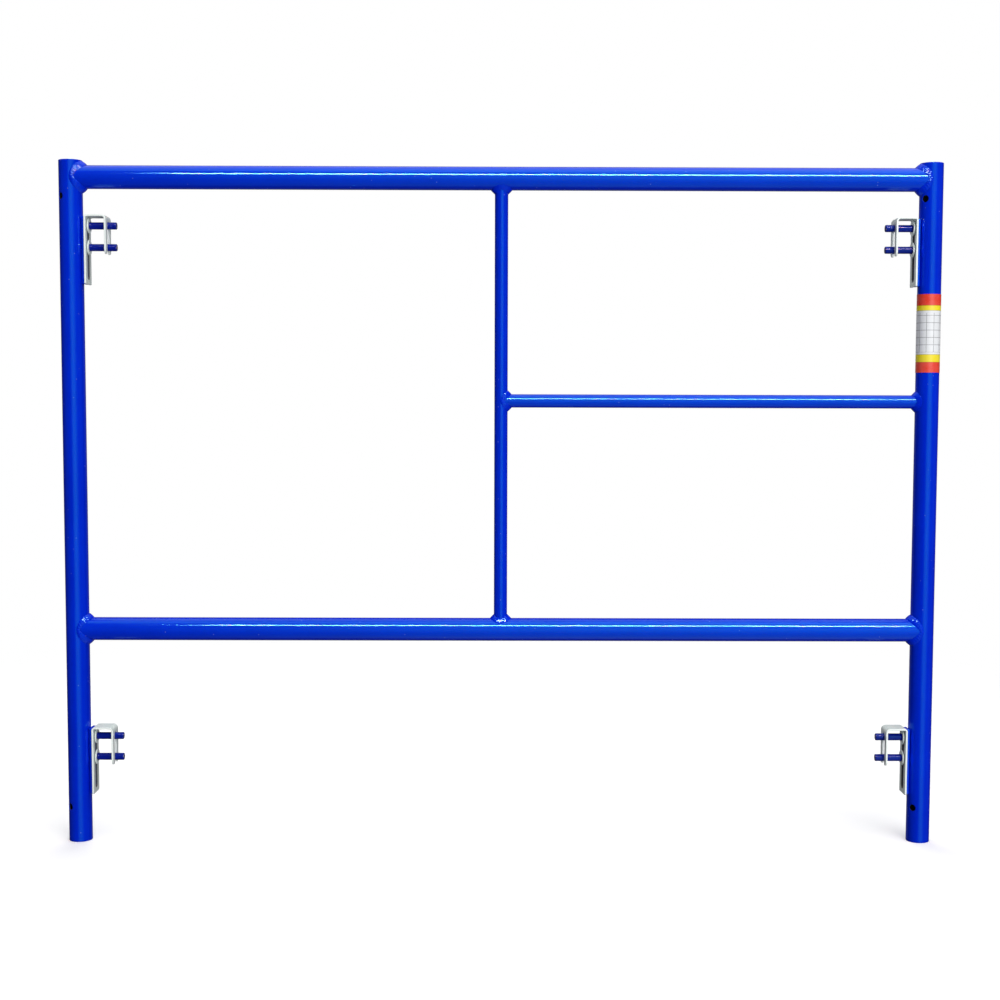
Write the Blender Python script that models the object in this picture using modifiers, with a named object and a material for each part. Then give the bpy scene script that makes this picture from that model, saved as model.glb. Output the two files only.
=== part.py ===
"""Welded steel scaffold frame with four gravity drop locks.

Units are metres and +Z is up. The frame stands in the XZ plane: X runs across its width and Y
through its depth. The origin is on the ground, midway between the two legs.
"""
import math

import bmesh
import bpy
from mathutils import Euler, Matrix, Vector

MM = 0.001
GAP = 0.3 * MM                      # left between pieces that touch

# Frame: overall sizes and the heights of its members' axes.
LEG_SPACING = 1524.0 * MM           # between leg axes, 60 in
FRAME_HEIGHT = 1219.2 * MM          # leg length, 48 in
TOP_RAIL_HEIGHT = 1190.2 * MM
LOWER_RAIL_HEIGHT = 386.0 * MM
RUNG_HEIGHT = 797.7 * MM

# Tubes.
MAIN_RADIUS = 41.3 / 2 * MM         # legs and rails, 1-5/8 in
MAIN_WALL = 2.4 * MM
BRACE_RADIUS = 23.8 / 2 * MM        # strut and rung, 15/16 in
BRACE_WALL = 1.65 * MM
TUBE_SEGMENTS = 48

# Pin holes near both ends of each leg, drilled through at 45 degrees in plan.
PIN_HOLE_RADIUS = 6.1 * MM
PIN_HOLE_INSET = 63.5 * MM
PIN_HOLE_TURN = math.radians(45.0)

# Drop lock stations, two on each leg. A station's own frame has its origin on the leg's surface
# at the height of the upper stud, with +X towards the middle of the frame.
UPPER_STATION_HEIGHT = 1104.9 * MM
LOWER_STATION_HEIGHT = 190.5 * MM
STUD_SPACING = 38.1 * MM
STUD_RADIUS = 6.35 * MM
STUD_REACH = 60.0 * MM
STUD_CHAMFER = 1.0 * MM

BAR_THICKNESS = 5.2 * MM
BAR_WIDTH = 25.0 * MM
BAR_TOP = 16.0 * MM
BAR_BOTTOM = -102.6 * MM
BAR_BEVEL = 0.6 * MM
BAR_WELD_LENGTH = 66.0 * MM
BAR_WELD_REACH = 4.4 * MM           # how far the bead spreads round the leg
BAR_WELD_RISE = 3.7 * MM            # how high it climbs on the bar's side
BAR_WELD_BULGE = 0.7 * MM

# Lock: one strip bent into an inverted J. Its slotted back leg slides on the studs.
LOCK_THICKNESS = 3.2 * MM
LOCK_WIDTH = 38.0 * MM
LOCK_BACK = GAP + BAR_THICKNESS + GAP
LOCK_DEPTH = 38.9 * MM              # over both legs
LOCK_TOP = 18.5 * MM
LOCK_BOTTOM = -103.2 * MM
LOCK_BACK_BEND = 5.5 * MM           # outer bend radii
LOCK_FRONT_BEND = 8.0 * MM
LOCK_CORNER = 3.0 * MM
SLOT_RADIUS = STUD_RADIUS + GAP
LOCK_TRAVEL = 50.0 * MM             # until the slot's foot meets the lower stud
FORK_RADIUS = 7.15 * MM
FORK_CROWN = 0.5 * MM               # centre of the fork's round top, above the stud's axis
FORK_TIP = -50.0 * MM
PRONG_OUTER_ROUND = 8.2 * MM
PRONG_INNER_ROUND = 3.0 * MM

WASHER_RADIUS = 13.5 * MM
WASHER_THICKNESS = 2.5 * MM
WASHER_STANDOFF = 9.8 * MM
SMALL_SEGMENTS = 32

# Joint welds: length of the fillet's sides, by the size of the branch tube.
MAIN_FILLET = 7.3 * MM
BRACE_FILLET = 6.5 * MM
WELD_STEPS = 40
WELD_ROOT = 2.0 * MM                # keeps the bead's root curve smooth at the sides
MAIN_BULGE = 0.9 * MM               # of the bead's face, where the tubes meet square
BRACE_BULGE = 0.5 * MM
FLUSH_BULGE = 0.9 * MM              # added where the two tubes run flush

# Wrap label on the right leg.
LABEL_BOTTOM = 850.0 * MM
LABEL_TOP = 988.5 * MM
LABEL_THICKNESS = 0.3 * MM
LABEL_SEAM = 6.0 * MM               # open seam at the back of the leg

LEG_X = {"left": -LEG_SPACING / 2, "right": LEG_SPACING / 2}
STATION_HEIGHT = {"upper": UPPER_STATION_HEIGHT, "lower": LOWER_STATION_HEIGHT}
TOWARDS_MIDDLE = {"left": 0.0, "right": math.pi}


def clear_scene():
    """Remove every object of the scene the script runs in."""
    for obj in list(bpy.data.objects):
        bpy.data.objects.remove(obj)


def new_collection(name):
    """A collection linked to the scene."""
    collection = bpy.data.collections.new(name)
    bpy.context.scene.collection.children.link(collection)
    return collection


def new_material(name, colour, roughness, metallic):
    """A Principled BSDF with one colour and finish."""
    material = bpy.data.materials.new(name)
    material.use_nodes = True
    shader = material.node_tree.nodes["Principled BSDF"]
    shader.inputs["Base Color"].default_value = (*colour, 1.0)
    shader.inputs["Roughness"].default_value = roughness
    shader.inputs["Metallic"].default_value = metallic
    return material


def add_object(name, mesh, collection, location=(0, 0, 0), rotation=(0, 0, 0), material=None):
    """Link a mesh into a collection at its place."""
    obj = bpy.data.objects.new(name, mesh)
    obj.location = location
    obj.rotation_euler = rotation
    if material and not mesh.materials:
        mesh.materials.append(material)
    collection.objects.link(obj)
    return obj


def mark_as_cutter(obj):
    """Show a cutter as wire and keep it out of renders."""
    obj.display_type = 'WIRE'
    obj.hide_render = True
    return obj


def smooth(mesh):
    """Smooth shading that keeps edges over 30 degrees crisp."""
    mesh.shade_smooth()
    mesh.set_sharp_from_angle(angle=math.radians(30.0))


def mesh_from_bmesh(name, bm):
    """Store a bmesh as a mesh and free it."""
    mesh = bpy.data.meshes.new(name)
    bm.to_mesh(mesh)
    bm.free()
    return mesh


def evaluated_mesh(obj):
    """The mesh of an object after its modifiers or its curve settings."""
    bpy.context.view_layer.update()
    depsgraph = bpy.context.evaluated_depsgraph_get()
    return bpy.data.meshes.new_from_object(obj.evaluated_get(depsgraph))


def turned_mesh(name, loop, segments):
    """A closed profile turned about Z. The loop's first edge is its outer side, top to bottom."""
    profile = bpy.data.meshes.new(name)
    edges = [(i, (i + 1) % len(loop)) for i in range(len(loop))]
    profile.from_pydata([(radius, 0.0, height) for radius, height in loop], edges, [])
    obj = bpy.data.objects.new(name, profile)
    bpy.context.scene.collection.objects.link(obj)
    screw = obj.modifiers.new("Turn", 'SCREW')
    screw.steps = screw.render_steps = segments
    screw.use_merge_vertices = True
    screw.merge_threshold = 0.00001
    mesh = evaluated_mesh(obj)
    bpy.data.objects.remove(obj)
    smooth(mesh)
    return mesh


def ring_loop(inner, outer, bottom, top):
    """Profile of a tube, washer or band."""
    return [(outer, top), (outer, bottom), (inner, bottom), (inner, top)]


def tube(name, radius, wall, length, segments):
    """An open tube along Z, centred on its length."""
    return turned_mesh(name, ring_loop(radius - wall, radius, -length / 2, length / 2), segments)


def rod(name, radius, length, segments):
    """A solid cylinder along Z, centred on its length."""
    bm = bmesh.new()
    bmesh.ops.create_cone(bm, cap_ends=True, segments=segments, radius1=radius, radius2=radius,
                          depth=length)
    return mesh_from_bmesh(name, bm)


def box(name, low, high, bevel=0.0):
    """A box between two corners, with its edges bevelled."""
    bm = bmesh.new()
    bmesh.ops.create_cube(bm, size=1.0)
    size = Vector(high) - Vector(low)
    centre = (Vector(high) + Vector(low)) / 2
    bmesh.ops.transform(bm, verts=bm.verts, matrix=Matrix.Translation(centre) @ Matrix.Diagonal((*size, 1.0)))
    if bevel:
        bmesh.ops.bevel(bm, geom=bm.edges[:], offset=bevel, segments=1, affect='EDGES')
    return mesh_from_bmesh(name, bm)


def outline_mesh(name, points, half_thickness):
    """A flat outline in the XY plane, given a thickness along Z."""
    curve = bpy.data.curves.new(name, 'CURVE')
    curve.dimensions = '2D'
    curve.fill_mode = 'BOTH'
    curve.extrude = half_thickness
    spline = curve.splines.new('POLY')
    spline.points.add(len(points) - 1)
    for point, (x, y) in zip(spline.points, points):
        point.co = (x, y, 0.0, 1.0)
    spline.use_cyclic_u = True
    obj = bpy.data.objects.new(name, curve)
    bpy.context.scene.collection.objects.link(obj)
    mesh = evaluated_mesh(obj)
    bpy.data.objects.remove(obj)
    bm = bmesh.new()
    bm.from_mesh(mesh)
    bmesh.ops.remove_doubles(bm, verts=bm.verts, dist=0.000001)
    bmesh.ops.recalc_face_normals(bm, faces=bm.faces)
    bpy.data.meshes.remove(mesh)
    return mesh_from_bmesh(name, bm)


def arc(centre, radius, start, end, steps):
    """Points along an arc, from the start angle to the end angle in degrees."""
    angles = [math.radians(start + (end - start) * i / steps) for i in range(steps + 1)]
    return [(centre[0] + radius * math.cos(a), centre[1] + radius * math.sin(a)) for a in angles]


def cut(obj, cutter):
    """Take a cutter's shape out of an object."""
    boolean = obj.modifiers.new("Cut " + cutter.name, 'BOOLEAN')
    boolean.operation = 'DIFFERENCE'
    boolean.object = cutter


def cope_cutter(name, radius, location, rotation, cutters):
    """A rod in the place of the tube that a member's end is shaped to fit."""
    mesh = rod(name, radius + GAP, 6 * radius, 64)
    return mark_as_cutter(add_object(name, mesh, cutters, location, rotation))


def build_legs(parts, cutters, paint):
    """Two upright tubes, each pierced by a pin hole near its top and bottom."""
    for side, x in LEG_X.items():
        mesh = tube(side + "_leg", MAIN_RADIUS, MAIN_WALL, FRAME_HEIGHT, TUBE_SEGMENTS)
        leg = add_object(side + "_leg", mesh, parts, (x, 0, FRAME_HEIGHT / 2), material=paint)
        for end, z in (("bottom", PIN_HOLE_INSET), ("top", FRAME_HEIGHT - PIN_HOLE_INSET)):
            name = f"{side}_leg_{end}_pin_hole"
            drill = add_object(name, rod(name, PIN_HOLE_RADIUS, 4 * MAIN_RADIUS, 24), cutters,
                               (x, 0, z), (math.pi / 2, 0, -PIN_HOLE_TURN))
            cut(leg, mark_as_cutter(drill))


def build_member(name, radius, wall, start, end, copes, parts, cutters, paint):
    """A straight tube between two axes, its ends coped to the tubes that it meets.

    start and end are points, and copes gives the radius and rotation of the tube met at each.
    """
    start, end = Vector(start), Vector(end)
    run = end - start
    mesh = tube(name, radius, wall, run.length - 2 * MM, TUBE_SEGMENTS)
    turn = run.to_track_quat('Z', 'Y').to_euler()
    member = add_object(name, mesh, parts, (start + end) / 2, turn, paint)
    for i, (place, (met_radius, met_turn)) in enumerate(zip((start, end), copes)):
        cut(member, cope_cutter(f"{name}_cope_{i}", met_radius, place, met_turn, cutters))


def build_members(parts, cutters, paint):
    """Top rail, lower rail, centre strut and middle rung."""
    upright = (0, 0, 0)
    level = (0, math.pi / 2, 0)
    left, right = LEG_X["left"], LEG_X["right"]
    leg_copes = ((MAIN_RADIUS, upright), (MAIN_RADIUS, upright))
    rail_copes = ((MAIN_RADIUS, level), (MAIN_RADIUS, level))
    rung_copes = ((BRACE_RADIUS, upright), (MAIN_RADIUS, upright))
    for name, z in (("top_rail", TOP_RAIL_HEIGHT), ("lower_rail", LOWER_RAIL_HEIGHT)):
        build_member(name, MAIN_RADIUS, MAIN_WALL, (left, 0, z), (right, 0, z), leg_copes,
                     parts, cutters, paint)
    build_member("centre_strut", BRACE_RADIUS, BRACE_WALL, (0, 0, LOWER_RAIL_HEIGHT),
                 (0, 0, TOP_RAIL_HEIGHT), rail_copes, parts, cutters, paint)
    build_member("middle_rung", BRACE_RADIUS, BRACE_WALL, (0, 0, RUNG_HEIGHT),
                 (right, 0, RUNG_HEIGHT), rung_copes, parts, cutters, paint)


def weld_section(turn, main_radius, branch_radius, fillet, bulge):
    """One cross-section of a saddle weld, at an angle round the branch tube.

    The branch lies along +X and the main tube along Z. The bead's underside follows both tubes
    from its root, and its face is a shallow bulge between its two toes.
    """
    main, branch = main_radius + GAP, branch_radius + GAP

    def root_point(angle):
        y = branch * math.cos(angle)
        return Vector((math.sqrt(max(main ** 2 - y ** 2, 0.0) + WELD_ROOT ** 2), y, branch * math.sin(angle)))

    def on_main(point):
        scale = main / math.hypot(point.x, point.y)
        return Vector((point.x * scale, point.y * scale, point.z))

    def on_branch(point):
        scale = branch / math.hypot(point.y, point.z)
        return Vector((point.x, point.y * scale, point.z * scale))

    root = root_point(turn)
    along = (root_point(turn + 0.01) - root_point(turn - 0.01)).normalized()
    branch_normal = Vector((0, math.cos(turn), math.sin(turn)))
    main_normal = Vector((root.x, root.y, 0)).normalized()
    over_main = main_normal.cross(along)
    if over_main.dot(branch_normal - Vector((1, 0, 0))) < 0:
        over_main.negate()
    over_branch = branch_normal.cross(along)
    if over_branch.x < 0:
        over_branch.negate()
    main_toe = on_main(root + over_main * fillet)
    branch_toe = on_branch(root + over_branch * fillet)
    outward = (main_normal + branch_normal).normalized()
    rise = bulge + FLUSH_BULGE * main_normal.dot(branch_normal)
    face = [branch_toe.lerp(main_toe, s) + outward * (rise * 4 * s * (1 - s)) for s in (0.25, 0.5, 0.75)]
    return [main_toe, on_main(root + over_main * fillet / 2), root,
            on_branch(root + over_branch * fillet / 2), branch_toe, *face]


def saddle_weld(name, main_radius, branch_radius, fillet, bulge):
    """A fillet bead all round the joint of a branch tube with a main tube."""
    bm = bmesh.new()
    rings = []
    for i in range(WELD_STEPS):
        turn = 2 * math.pi * (i + 0.5) / WELD_STEPS
        section = weld_section(turn, main_radius, branch_radius, fillet, bulge)
        rings.append([bm.verts.new(point) for point in section])
    for ring, following in zip(rings, rings[1:] + rings[:1]):
        for j in range(len(ring)):
            k = (j + 1) % len(ring)
            bm.faces.new((ring[j], ring[k], following[k], following[j]))
    bmesh.ops.recalc_face_normals(bm, faces=bm.faces)
    mesh = mesh_from_bmesh(name, bm)
    smooth(mesh)
    return mesh


def build_joint_welds(parts, paint):
    """The beads at the eight tube joints."""
    quarter = math.pi / 2
    left, right = LEG_X["left"], LEG_X["right"]
    main_joints = (
        ("weld_top_rail_left", (left, 0, TOP_RAIL_HEIGHT), (0, 0, 0)),
        ("weld_top_rail_right", (right, 0, TOP_RAIL_HEIGHT), (0, 0, math.pi)),
        ("weld_lower_rail_left", (left, 0, LOWER_RAIL_HEIGHT), (0, 0, 0)),
        ("weld_lower_rail_right", (right, 0, LOWER_RAIL_HEIGHT), (0, 0, math.pi)),
    )
    for name, place, turn in main_joints:
        mesh = saddle_weld(name, MAIN_RADIUS, MAIN_RADIUS, MAIN_FILLET, MAIN_BULGE)
        add_object(name, mesh, parts, place, turn, paint)
    brace_joints = (
        ("weld_strut_top", MAIN_RADIUS, (0, 0, TOP_RAIL_HEIGHT), (0, quarter, 0)),
        ("weld_strut_bottom", MAIN_RADIUS, (0, 0, LOWER_RAIL_HEIGHT), (0, -quarter, 0)),
        ("weld_rung_strut", BRACE_RADIUS, (0, 0, RUNG_HEIGHT), (0, 0, 0)),
        ("weld_rung_leg", MAIN_RADIUS, (right, 0, RUNG_HEIGHT), (0, 0, math.pi)),
    )
    for name, main_radius, place, turn in brace_joints:
        mesh = saddle_weld(name, main_radius, BRACE_RADIUS, BRACE_FILLET, BRACE_BULGE)
        add_object(name, mesh, parts, place, turn, paint)


def bar_weld_outline():
    """Plan of the bead between a backing bar's side and the leg, in the station's frame."""
    radius = MAIN_RADIUS + GAP
    side = BAR_WIDTH / 2 + GAP

    def on_leg(y):
        return (math.sqrt(radius ** 2 - y ** 2) - MAIN_RADIUS, y)

    toe = on_leg(side + BAR_WELD_REACH)
    crest = (BAR_WELD_RISE, side)
    slope = Vector((crest[0] - toe[0], crest[1] - toe[1]))
    outward = Vector((-slope.y, slope.x)).normalized()
    face = []
    for s in (0.25, 0.5, 0.75):
        point = Vector(toe) + slope * s + outward * (BAR_WELD_BULGE * 4 * s * (1 - s))
        face.append((point.x, point.y))
    return [on_leg(side), on_leg(side + BAR_WELD_REACH / 2), toe, *face, crest]


def stud_mesh():
    """A round stud along Z from its root, with a chamfered free end."""
    root = LOCK_BACK
    loop = [(STUD_RADIUS, STUD_REACH - STUD_CHAMFER), (STUD_RADIUS, root), (0.0, root),
            (0.0, STUD_REACH), (STUD_RADIUS - STUD_CHAMFER, STUD_REACH)]
    profile = bpy.data.meshes.new("stud")
    edges = [(0, 1), (1, 2), (3, 4), (4, 0)]
    profile.from_pydata([(radius, 0.0, height) for radius, height in loop], edges, [])
    obj = bpy.data.objects.new("stud", profile)
    bpy.context.scene.collection.objects.link(obj)
    screw = obj.modifiers.new("Turn", 'SCREW')
    screw.steps = screw.render_steps = SMALL_SEGMENTS
    screw.use_merge_vertices = True
    screw.merge_threshold = 0.00001
    mesh = evaluated_mesh(obj)
    bpy.data.objects.remove(obj)
    smooth(mesh)
    return mesh


def lock_profile():
    """Side outline of the bent strip: up the back leg, over the top and down the front leg."""
    t = LOCK_THICKNESS
    front = LOCK_DEPTH
    back_bend, front_bend = LOCK_BACK_BEND, LOCK_FRONT_BEND
    outer = [(0.0, LOCK_BOTTOM)]
    outer += arc((back_bend, LOCK_TOP - back_bend), back_bend, 180, 90, 6)
    outer += arc((front - front_bend, LOCK_TOP - front_bend), front_bend, 90, 0, 8)
    outer += [(front, FORK_TIP)]
    inner = [(front - t, FORK_TIP)]
    inner += arc((front - front_bend, LOCK_TOP - front_bend), front_bend - t, 0, 90, 8)
    inner += arc((back_bend, LOCK_TOP - back_bend), back_bend - t, 90, 180, 6)
    inner += [(t, LOCK_BOTTOM)]
    return [(LOCK_BACK + x, z) for x, z in outer + inner]


def slot_outline():
    """The back leg's slot, a stadium that the studs run in."""
    foot = -STUD_SPACING - LOCK_TRAVEL
    return arc((0.0, 0.0), SLOT_RADIUS, 0, 180, 12) + arc((0.0, foot), SLOT_RADIUS, 180, 360, 12)


def below_tongue_outline(half_width, tip, outer_round):
    """Waste beyond the round-cornered end of a strip."""
    past = 4 * MM
    rise = tip + outer_round
    left = [(-half_width - past, tip - past), (-half_width - past, rise)]
    left += arc((outer_round - half_width, rise), outer_round, 180, 270, 4)
    right = [(-x, z) for x, z in reversed(left)]
    return left + right


def fork_outline():
    """Waste between and beyond the two prongs of the front leg."""
    half = LOCK_WIDTH / 2
    past = 4 * MM
    outer, inner = PRONG_OUTER_ROUND, PRONG_INNER_ROUND
    left = [(-half - past, FORK_TIP - past), (-half - past, FORK_TIP + outer)]
    left += arc((outer - half, FORK_TIP + outer), outer, 180, 270, 6)
    left += arc((-FORK_RADIUS - inner, FORK_TIP + inner), inner, 270, 360, 4)
    crown = arc((0.0, FORK_CROWN), FORK_RADIUS, 180, 0, 12)
    right = [(-x, z) for x, z in reversed(left)]
    return left + crown + right


def lock_mesh(cutters):
    """The finished drop lock in its station's frame, in its lowest position."""
    across = (math.pi / 2, 0, 0)
    through = (math.pi / 2, 0, math.pi / 2)
    blank = add_object("lock_blank", outline_mesh("lock_blank", lock_profile(), LOCK_WIDTH / 2),
                       cutters, rotation=across)
    back_middle = LOCK_BACK + LOCK_THICKNESS / 2
    front_middle = LOCK_BACK + LOCK_DEPTH - LOCK_THICKNESS / 2
    tools = (
        ("lock_slot", slot_outline(), back_middle),
        ("lock_foot", below_tongue_outline(LOCK_WIDTH / 2, LOCK_BOTTOM, LOCK_CORNER), back_middle),
        ("lock_fork", fork_outline(), front_middle),
    )
    for name, outline, x in tools:
        mesh = outline_mesh(name, outline, 2 * LOCK_THICKNESS)
        cut(blank, mark_as_cutter(add_object(name, mesh, cutters, (x, 0, 0), through)))
    mesh = evaluated_mesh(blank)
    mesh.transform(Euler(across).to_matrix().to_4x4())
    mark_as_cutter(blank)
    mesh.name = "drop_lock"
    smooth(mesh)
    return mesh


def build_station(name, side, height, meshes, parts, paint, zinc):
    """One drop lock station: backing bar and its welds, two studs, their washers and the lock."""
    place = Vector((LEG_X[side], 0, height))
    turn = TOWARDS_MIDDLE[side]
    place += Vector((math.cos(turn), 0, 0)) * MAIN_RADIUS
    origin = bpy.data.objects.new(name + "_station", None)
    origin.location = place
    origin.rotation_euler = (0, 0, turn)
    parts.objects.link(origin)
    lying = (0, math.pi / 2, 0)
    weld_height = -STUD_SPACING / 2
    pieces = (
        ("backing_bar", "bar", (0, 0, 0), (0, 0, 0), paint),
        ("bar_weld_back", "bar_weld", (0, 0, weld_height), (0, 0, 0), paint),
        ("bar_weld_front", "bar_weld", (0, 0, weld_height), (math.pi, 0, 0), paint),
        ("stud_top", "stud", (0, 0, 0), lying, paint),
        ("stud_bottom", "stud", (0, 0, -STUD_SPACING), lying, paint),
        ("washer_top", "washer", (0, 0, 0), lying, zinc),
        ("washer_bottom", "washer", (0, 0, -STUD_SPACING), lying, zinc),
        ("drop_lock", "lock", (0, 0, 0), (0, 0, 0), zinc),
    )
    for label, kind, location, rotation, material in pieces:
        piece = add_object(f"{name}_{label}", meshes[kind], parts, location, rotation, material)
        piece.parent = origin


def build_stations(parts, cutters, paint, zinc):
    """The four stations, which share one mesh for each kind of piece."""
    half_bar = BAR_WIDTH / 2
    washer_loop = ring_loop(STUD_RADIUS + GAP, WASHER_RADIUS, WASHER_STANDOFF,
                            WASHER_STANDOFF + WASHER_THICKNESS)
    meshes = {
        "bar": box("backing_bar", (GAP, -half_bar, BAR_BOTTOM), (GAP + BAR_THICKNESS, half_bar, BAR_TOP),
                   BAR_BEVEL),
        "bar_weld": outline_mesh("bar_weld", bar_weld_outline(), BAR_WELD_LENGTH / 2),
        "stud": stud_mesh(),
        "washer": turned_mesh("washer", washer_loop, SMALL_SEGMENTS),
        "lock": lock_mesh(cutters),
    }
    for level, height in STATION_HEIGHT.items():
        for side in LEG_X:
            build_station(f"{level}_{side}", side, height, meshes, parts, paint, zinc)


def build_label(parts, cutters, film):
    """A thin wrap label on the right leg, open at its seam behind the leg."""
    inner = MAIN_RADIUS + GAP
    loop = ring_loop(inner, inner + LABEL_THICKNESS, LABEL_BOTTOM, LABEL_TOP)
    mesh = turned_mesh("wrap_label", loop, TUBE_SEGMENTS)
    label = add_object("wrap_label", mesh, parts, (LEG_X["right"], 0, 0), material=film)
    seam = box("label_seam", (-LABEL_SEAM / 2, 0, LABEL_BOTTOM - 5 * MM),
               (LABEL_SEAM / 2, 2 * MAIN_RADIUS, LABEL_TOP + 5 * MM))
    cut(label, mark_as_cutter(add_object("label_seam", seam, cutters, (LEG_X["right"], 0, 0))))


def main():
    """Build the whole frame."""
    clear_scene()
    parts = new_collection("scaffold_frame")
    cutters = new_collection("cutters")
    paint = new_material("blue_enamel", (0.004, 0.035, 0.42), 0.22, 0.0)
    zinc = new_material("zinc_plate", (0.62, 0.66, 0.65), 0.38, 1.0)
    film = new_material("label_film", (0.80, 0.80, 0.78), 0.35, 0.0)
    build_legs(parts, cutters, paint)
    build_members(parts, cutters, paint)
    build_joint_welds(parts, paint)
    build_stations(parts, cutters, paint, zinc)
    build_label(parts, cutters, film)


if __name__ == "__main__":
    main()
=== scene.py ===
"""Finish model of a welded scaffold frame section with four gravity drop locks.

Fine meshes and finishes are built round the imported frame: coped tubes with drilled pin holes,
rippled weld beads, bent zinc-plated locks, studs, washers and a banded wrap label. Everything is
in metres, in the frame's own axes: +X across it, +Y through its depth and +Z up.
"""

import logging
import math
from dataclasses import dataclass, field
from enum import Enum
from typing import Iterable, Sequence

import bmesh
import bpy
import numpy as np
from mathutils import Matrix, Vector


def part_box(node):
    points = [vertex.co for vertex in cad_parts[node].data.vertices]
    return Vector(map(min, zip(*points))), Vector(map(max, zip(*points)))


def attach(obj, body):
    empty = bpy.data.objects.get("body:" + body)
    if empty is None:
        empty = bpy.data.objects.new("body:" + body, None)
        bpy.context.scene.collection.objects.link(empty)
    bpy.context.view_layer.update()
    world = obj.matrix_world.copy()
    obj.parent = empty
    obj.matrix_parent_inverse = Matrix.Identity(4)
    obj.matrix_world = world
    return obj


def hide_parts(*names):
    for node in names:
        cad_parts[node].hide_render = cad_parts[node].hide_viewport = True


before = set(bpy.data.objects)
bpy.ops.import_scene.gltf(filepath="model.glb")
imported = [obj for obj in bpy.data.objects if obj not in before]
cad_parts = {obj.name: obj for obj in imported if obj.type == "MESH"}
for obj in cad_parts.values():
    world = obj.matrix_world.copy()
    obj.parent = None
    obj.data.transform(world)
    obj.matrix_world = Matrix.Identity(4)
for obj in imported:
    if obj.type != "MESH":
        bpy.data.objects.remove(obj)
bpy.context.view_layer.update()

LOG = logging.getLogger("scaffold_frame")
MM = 0.001
TAU = 2 * math.pi
GAP = 0.3 * MM

Array = np.ndarray
Socket = bpy.types.NodeSocket


class Side(Enum):
    """The two legs, with the direction from each towards the middle of the frame."""

    LEFT = 1.0
    RIGHT = -1.0

    @property
    def label(self) -> str:
        """The word that piece names use for this side."""
        return self.name.lower()


class Level(Enum):
    """The two heights of lock stations."""

    UPPER = "upper"
    LOWER = "lower"


class Slot(Enum):
    """Material slots of the record."""

    ENAMEL = "blue_enamel"
    ZINC = "zinc_plate"
    FILM = "label_film"


# ----------------------------------------------------------------------------------------------
# Surfaces
# ----------------------------------------------------------------------------------------------


@dataclass
class Surface:
    """Points and quads of a surface, worked out as whole arrays.

    points is (n, 3) and quads (m, 4). marks are named values per point, from 0 to 1, such as wear
    on an edge, that materials read as attributes.
    """

    points: Array
    quads: Array
    marks: dict[str, Array] = field(default_factory=dict)


def grid(points: Array, wrap_rows: bool = False, wrap_columns: bool = False,
         keep: Array | None = None, **marks: Array) -> Surface:
    """Quads over a grid of points, each cell joining a point to the next row and column.

    Args:
        points: Array of shape (rows, columns, 3).
        wrap_rows: Whether the last row joins the first.
        wrap_columns: Whether the last column joins the first.
        keep: Which cells to keep, shaped like the cells; all when None.
        **marks: Values per point, each of shape (rows, columns).

    Returns:
        The surface over the grid.
    """
    rows, columns = points.shape[:2]
    here = np.arange(rows * columns).reshape(rows, columns)
    down = np.roll(here, -1, axis=0)
    right = np.roll(here, -1, axis=1)
    both = np.roll(down, -1, axis=1)
    quads = np.stack([here, down, both, right], axis=-1)
    quads = quads[:rows if wrap_rows else rows - 1, :columns if wrap_columns else columns - 1]
    if keep is not None:
        quads = quads[keep]
    flat = {name: np.broadcast_to(value, (rows, columns)).reshape(-1) for name, value in marks.items()}
    return Surface(points.reshape(-1, 3), quads.reshape(-1, 4), flat)


def joined(surfaces: Sequence[Surface]) -> Surface:
    """One surface out of several, with the marks that a part lacks set to 0.

    Args:
        surfaces: The parts, whose shared edges hold the same points.

    Returns:
        All the points and quads together.
    """
    names = sorted({name for surface in surfaces for name in surface.marks})
    starts = np.cumsum([0] + [len(surface.points) for surface in surfaces])
    quads = [surface.quads + start for surface, start in zip(surfaces, starts)]
    marks = {name: np.concatenate([surface.marks.get(name, np.zeros(len(surface.points)))
                                   for surface in surfaces]) for name in names}
    return Surface(np.concatenate([surface.points for surface in surfaces]), np.concatenate(quads), marks)


def capped(points: Array, **marks: Array) -> Surface:
    """A closed skin over rings of points, each end drawn in to the middle of its last ring.

    Args:
        points: Array of shape (rings, points in a ring, 3).
        **marks: Values per point, each of shape (rings, points in a ring).

    Returns:
        The skin, whose end points are merged when the mesh is made.
    """
    first = np.broadcast_to(points[0].mean(axis=0), points[0].shape)
    last = np.broadcast_to(points[-1].mean(axis=0), points[-1].shape)
    rings = np.concatenate([first[None], points, last[None]])
    padded = {name: np.concatenate([value[:1], value, value[-1:]]) for name, value in marks.items()}
    return grid(rings, wrap_columns=True, **padded)


def thick_sheet(points: Array, offset: Array, **marks: Array) -> Surface:
    """A closed sheet: a grid, the same grid offset, and the strip that joins their edges.

    Args:
        points: Array of shape (rows, columns, 3).
        offset: The wall's thickness and direction at each point, of the same shape.
        **marks: Values per point, each of shape (rows, columns).

    Returns:
        The closed sheet.
    """
    top, bottom = points + offset, points
    loops = []
    for layer in (bottom, top):
        loops.append(np.concatenate([layer[0, :-1], layer[:-1, -1], layer[-1, :0:-1], layer[:0:-1, 0]]))
    rim = grid(np.stack(loops), wrap_columns=True)
    return joined([grid(top, **marks), grid(bottom, **marks), rim])


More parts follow.
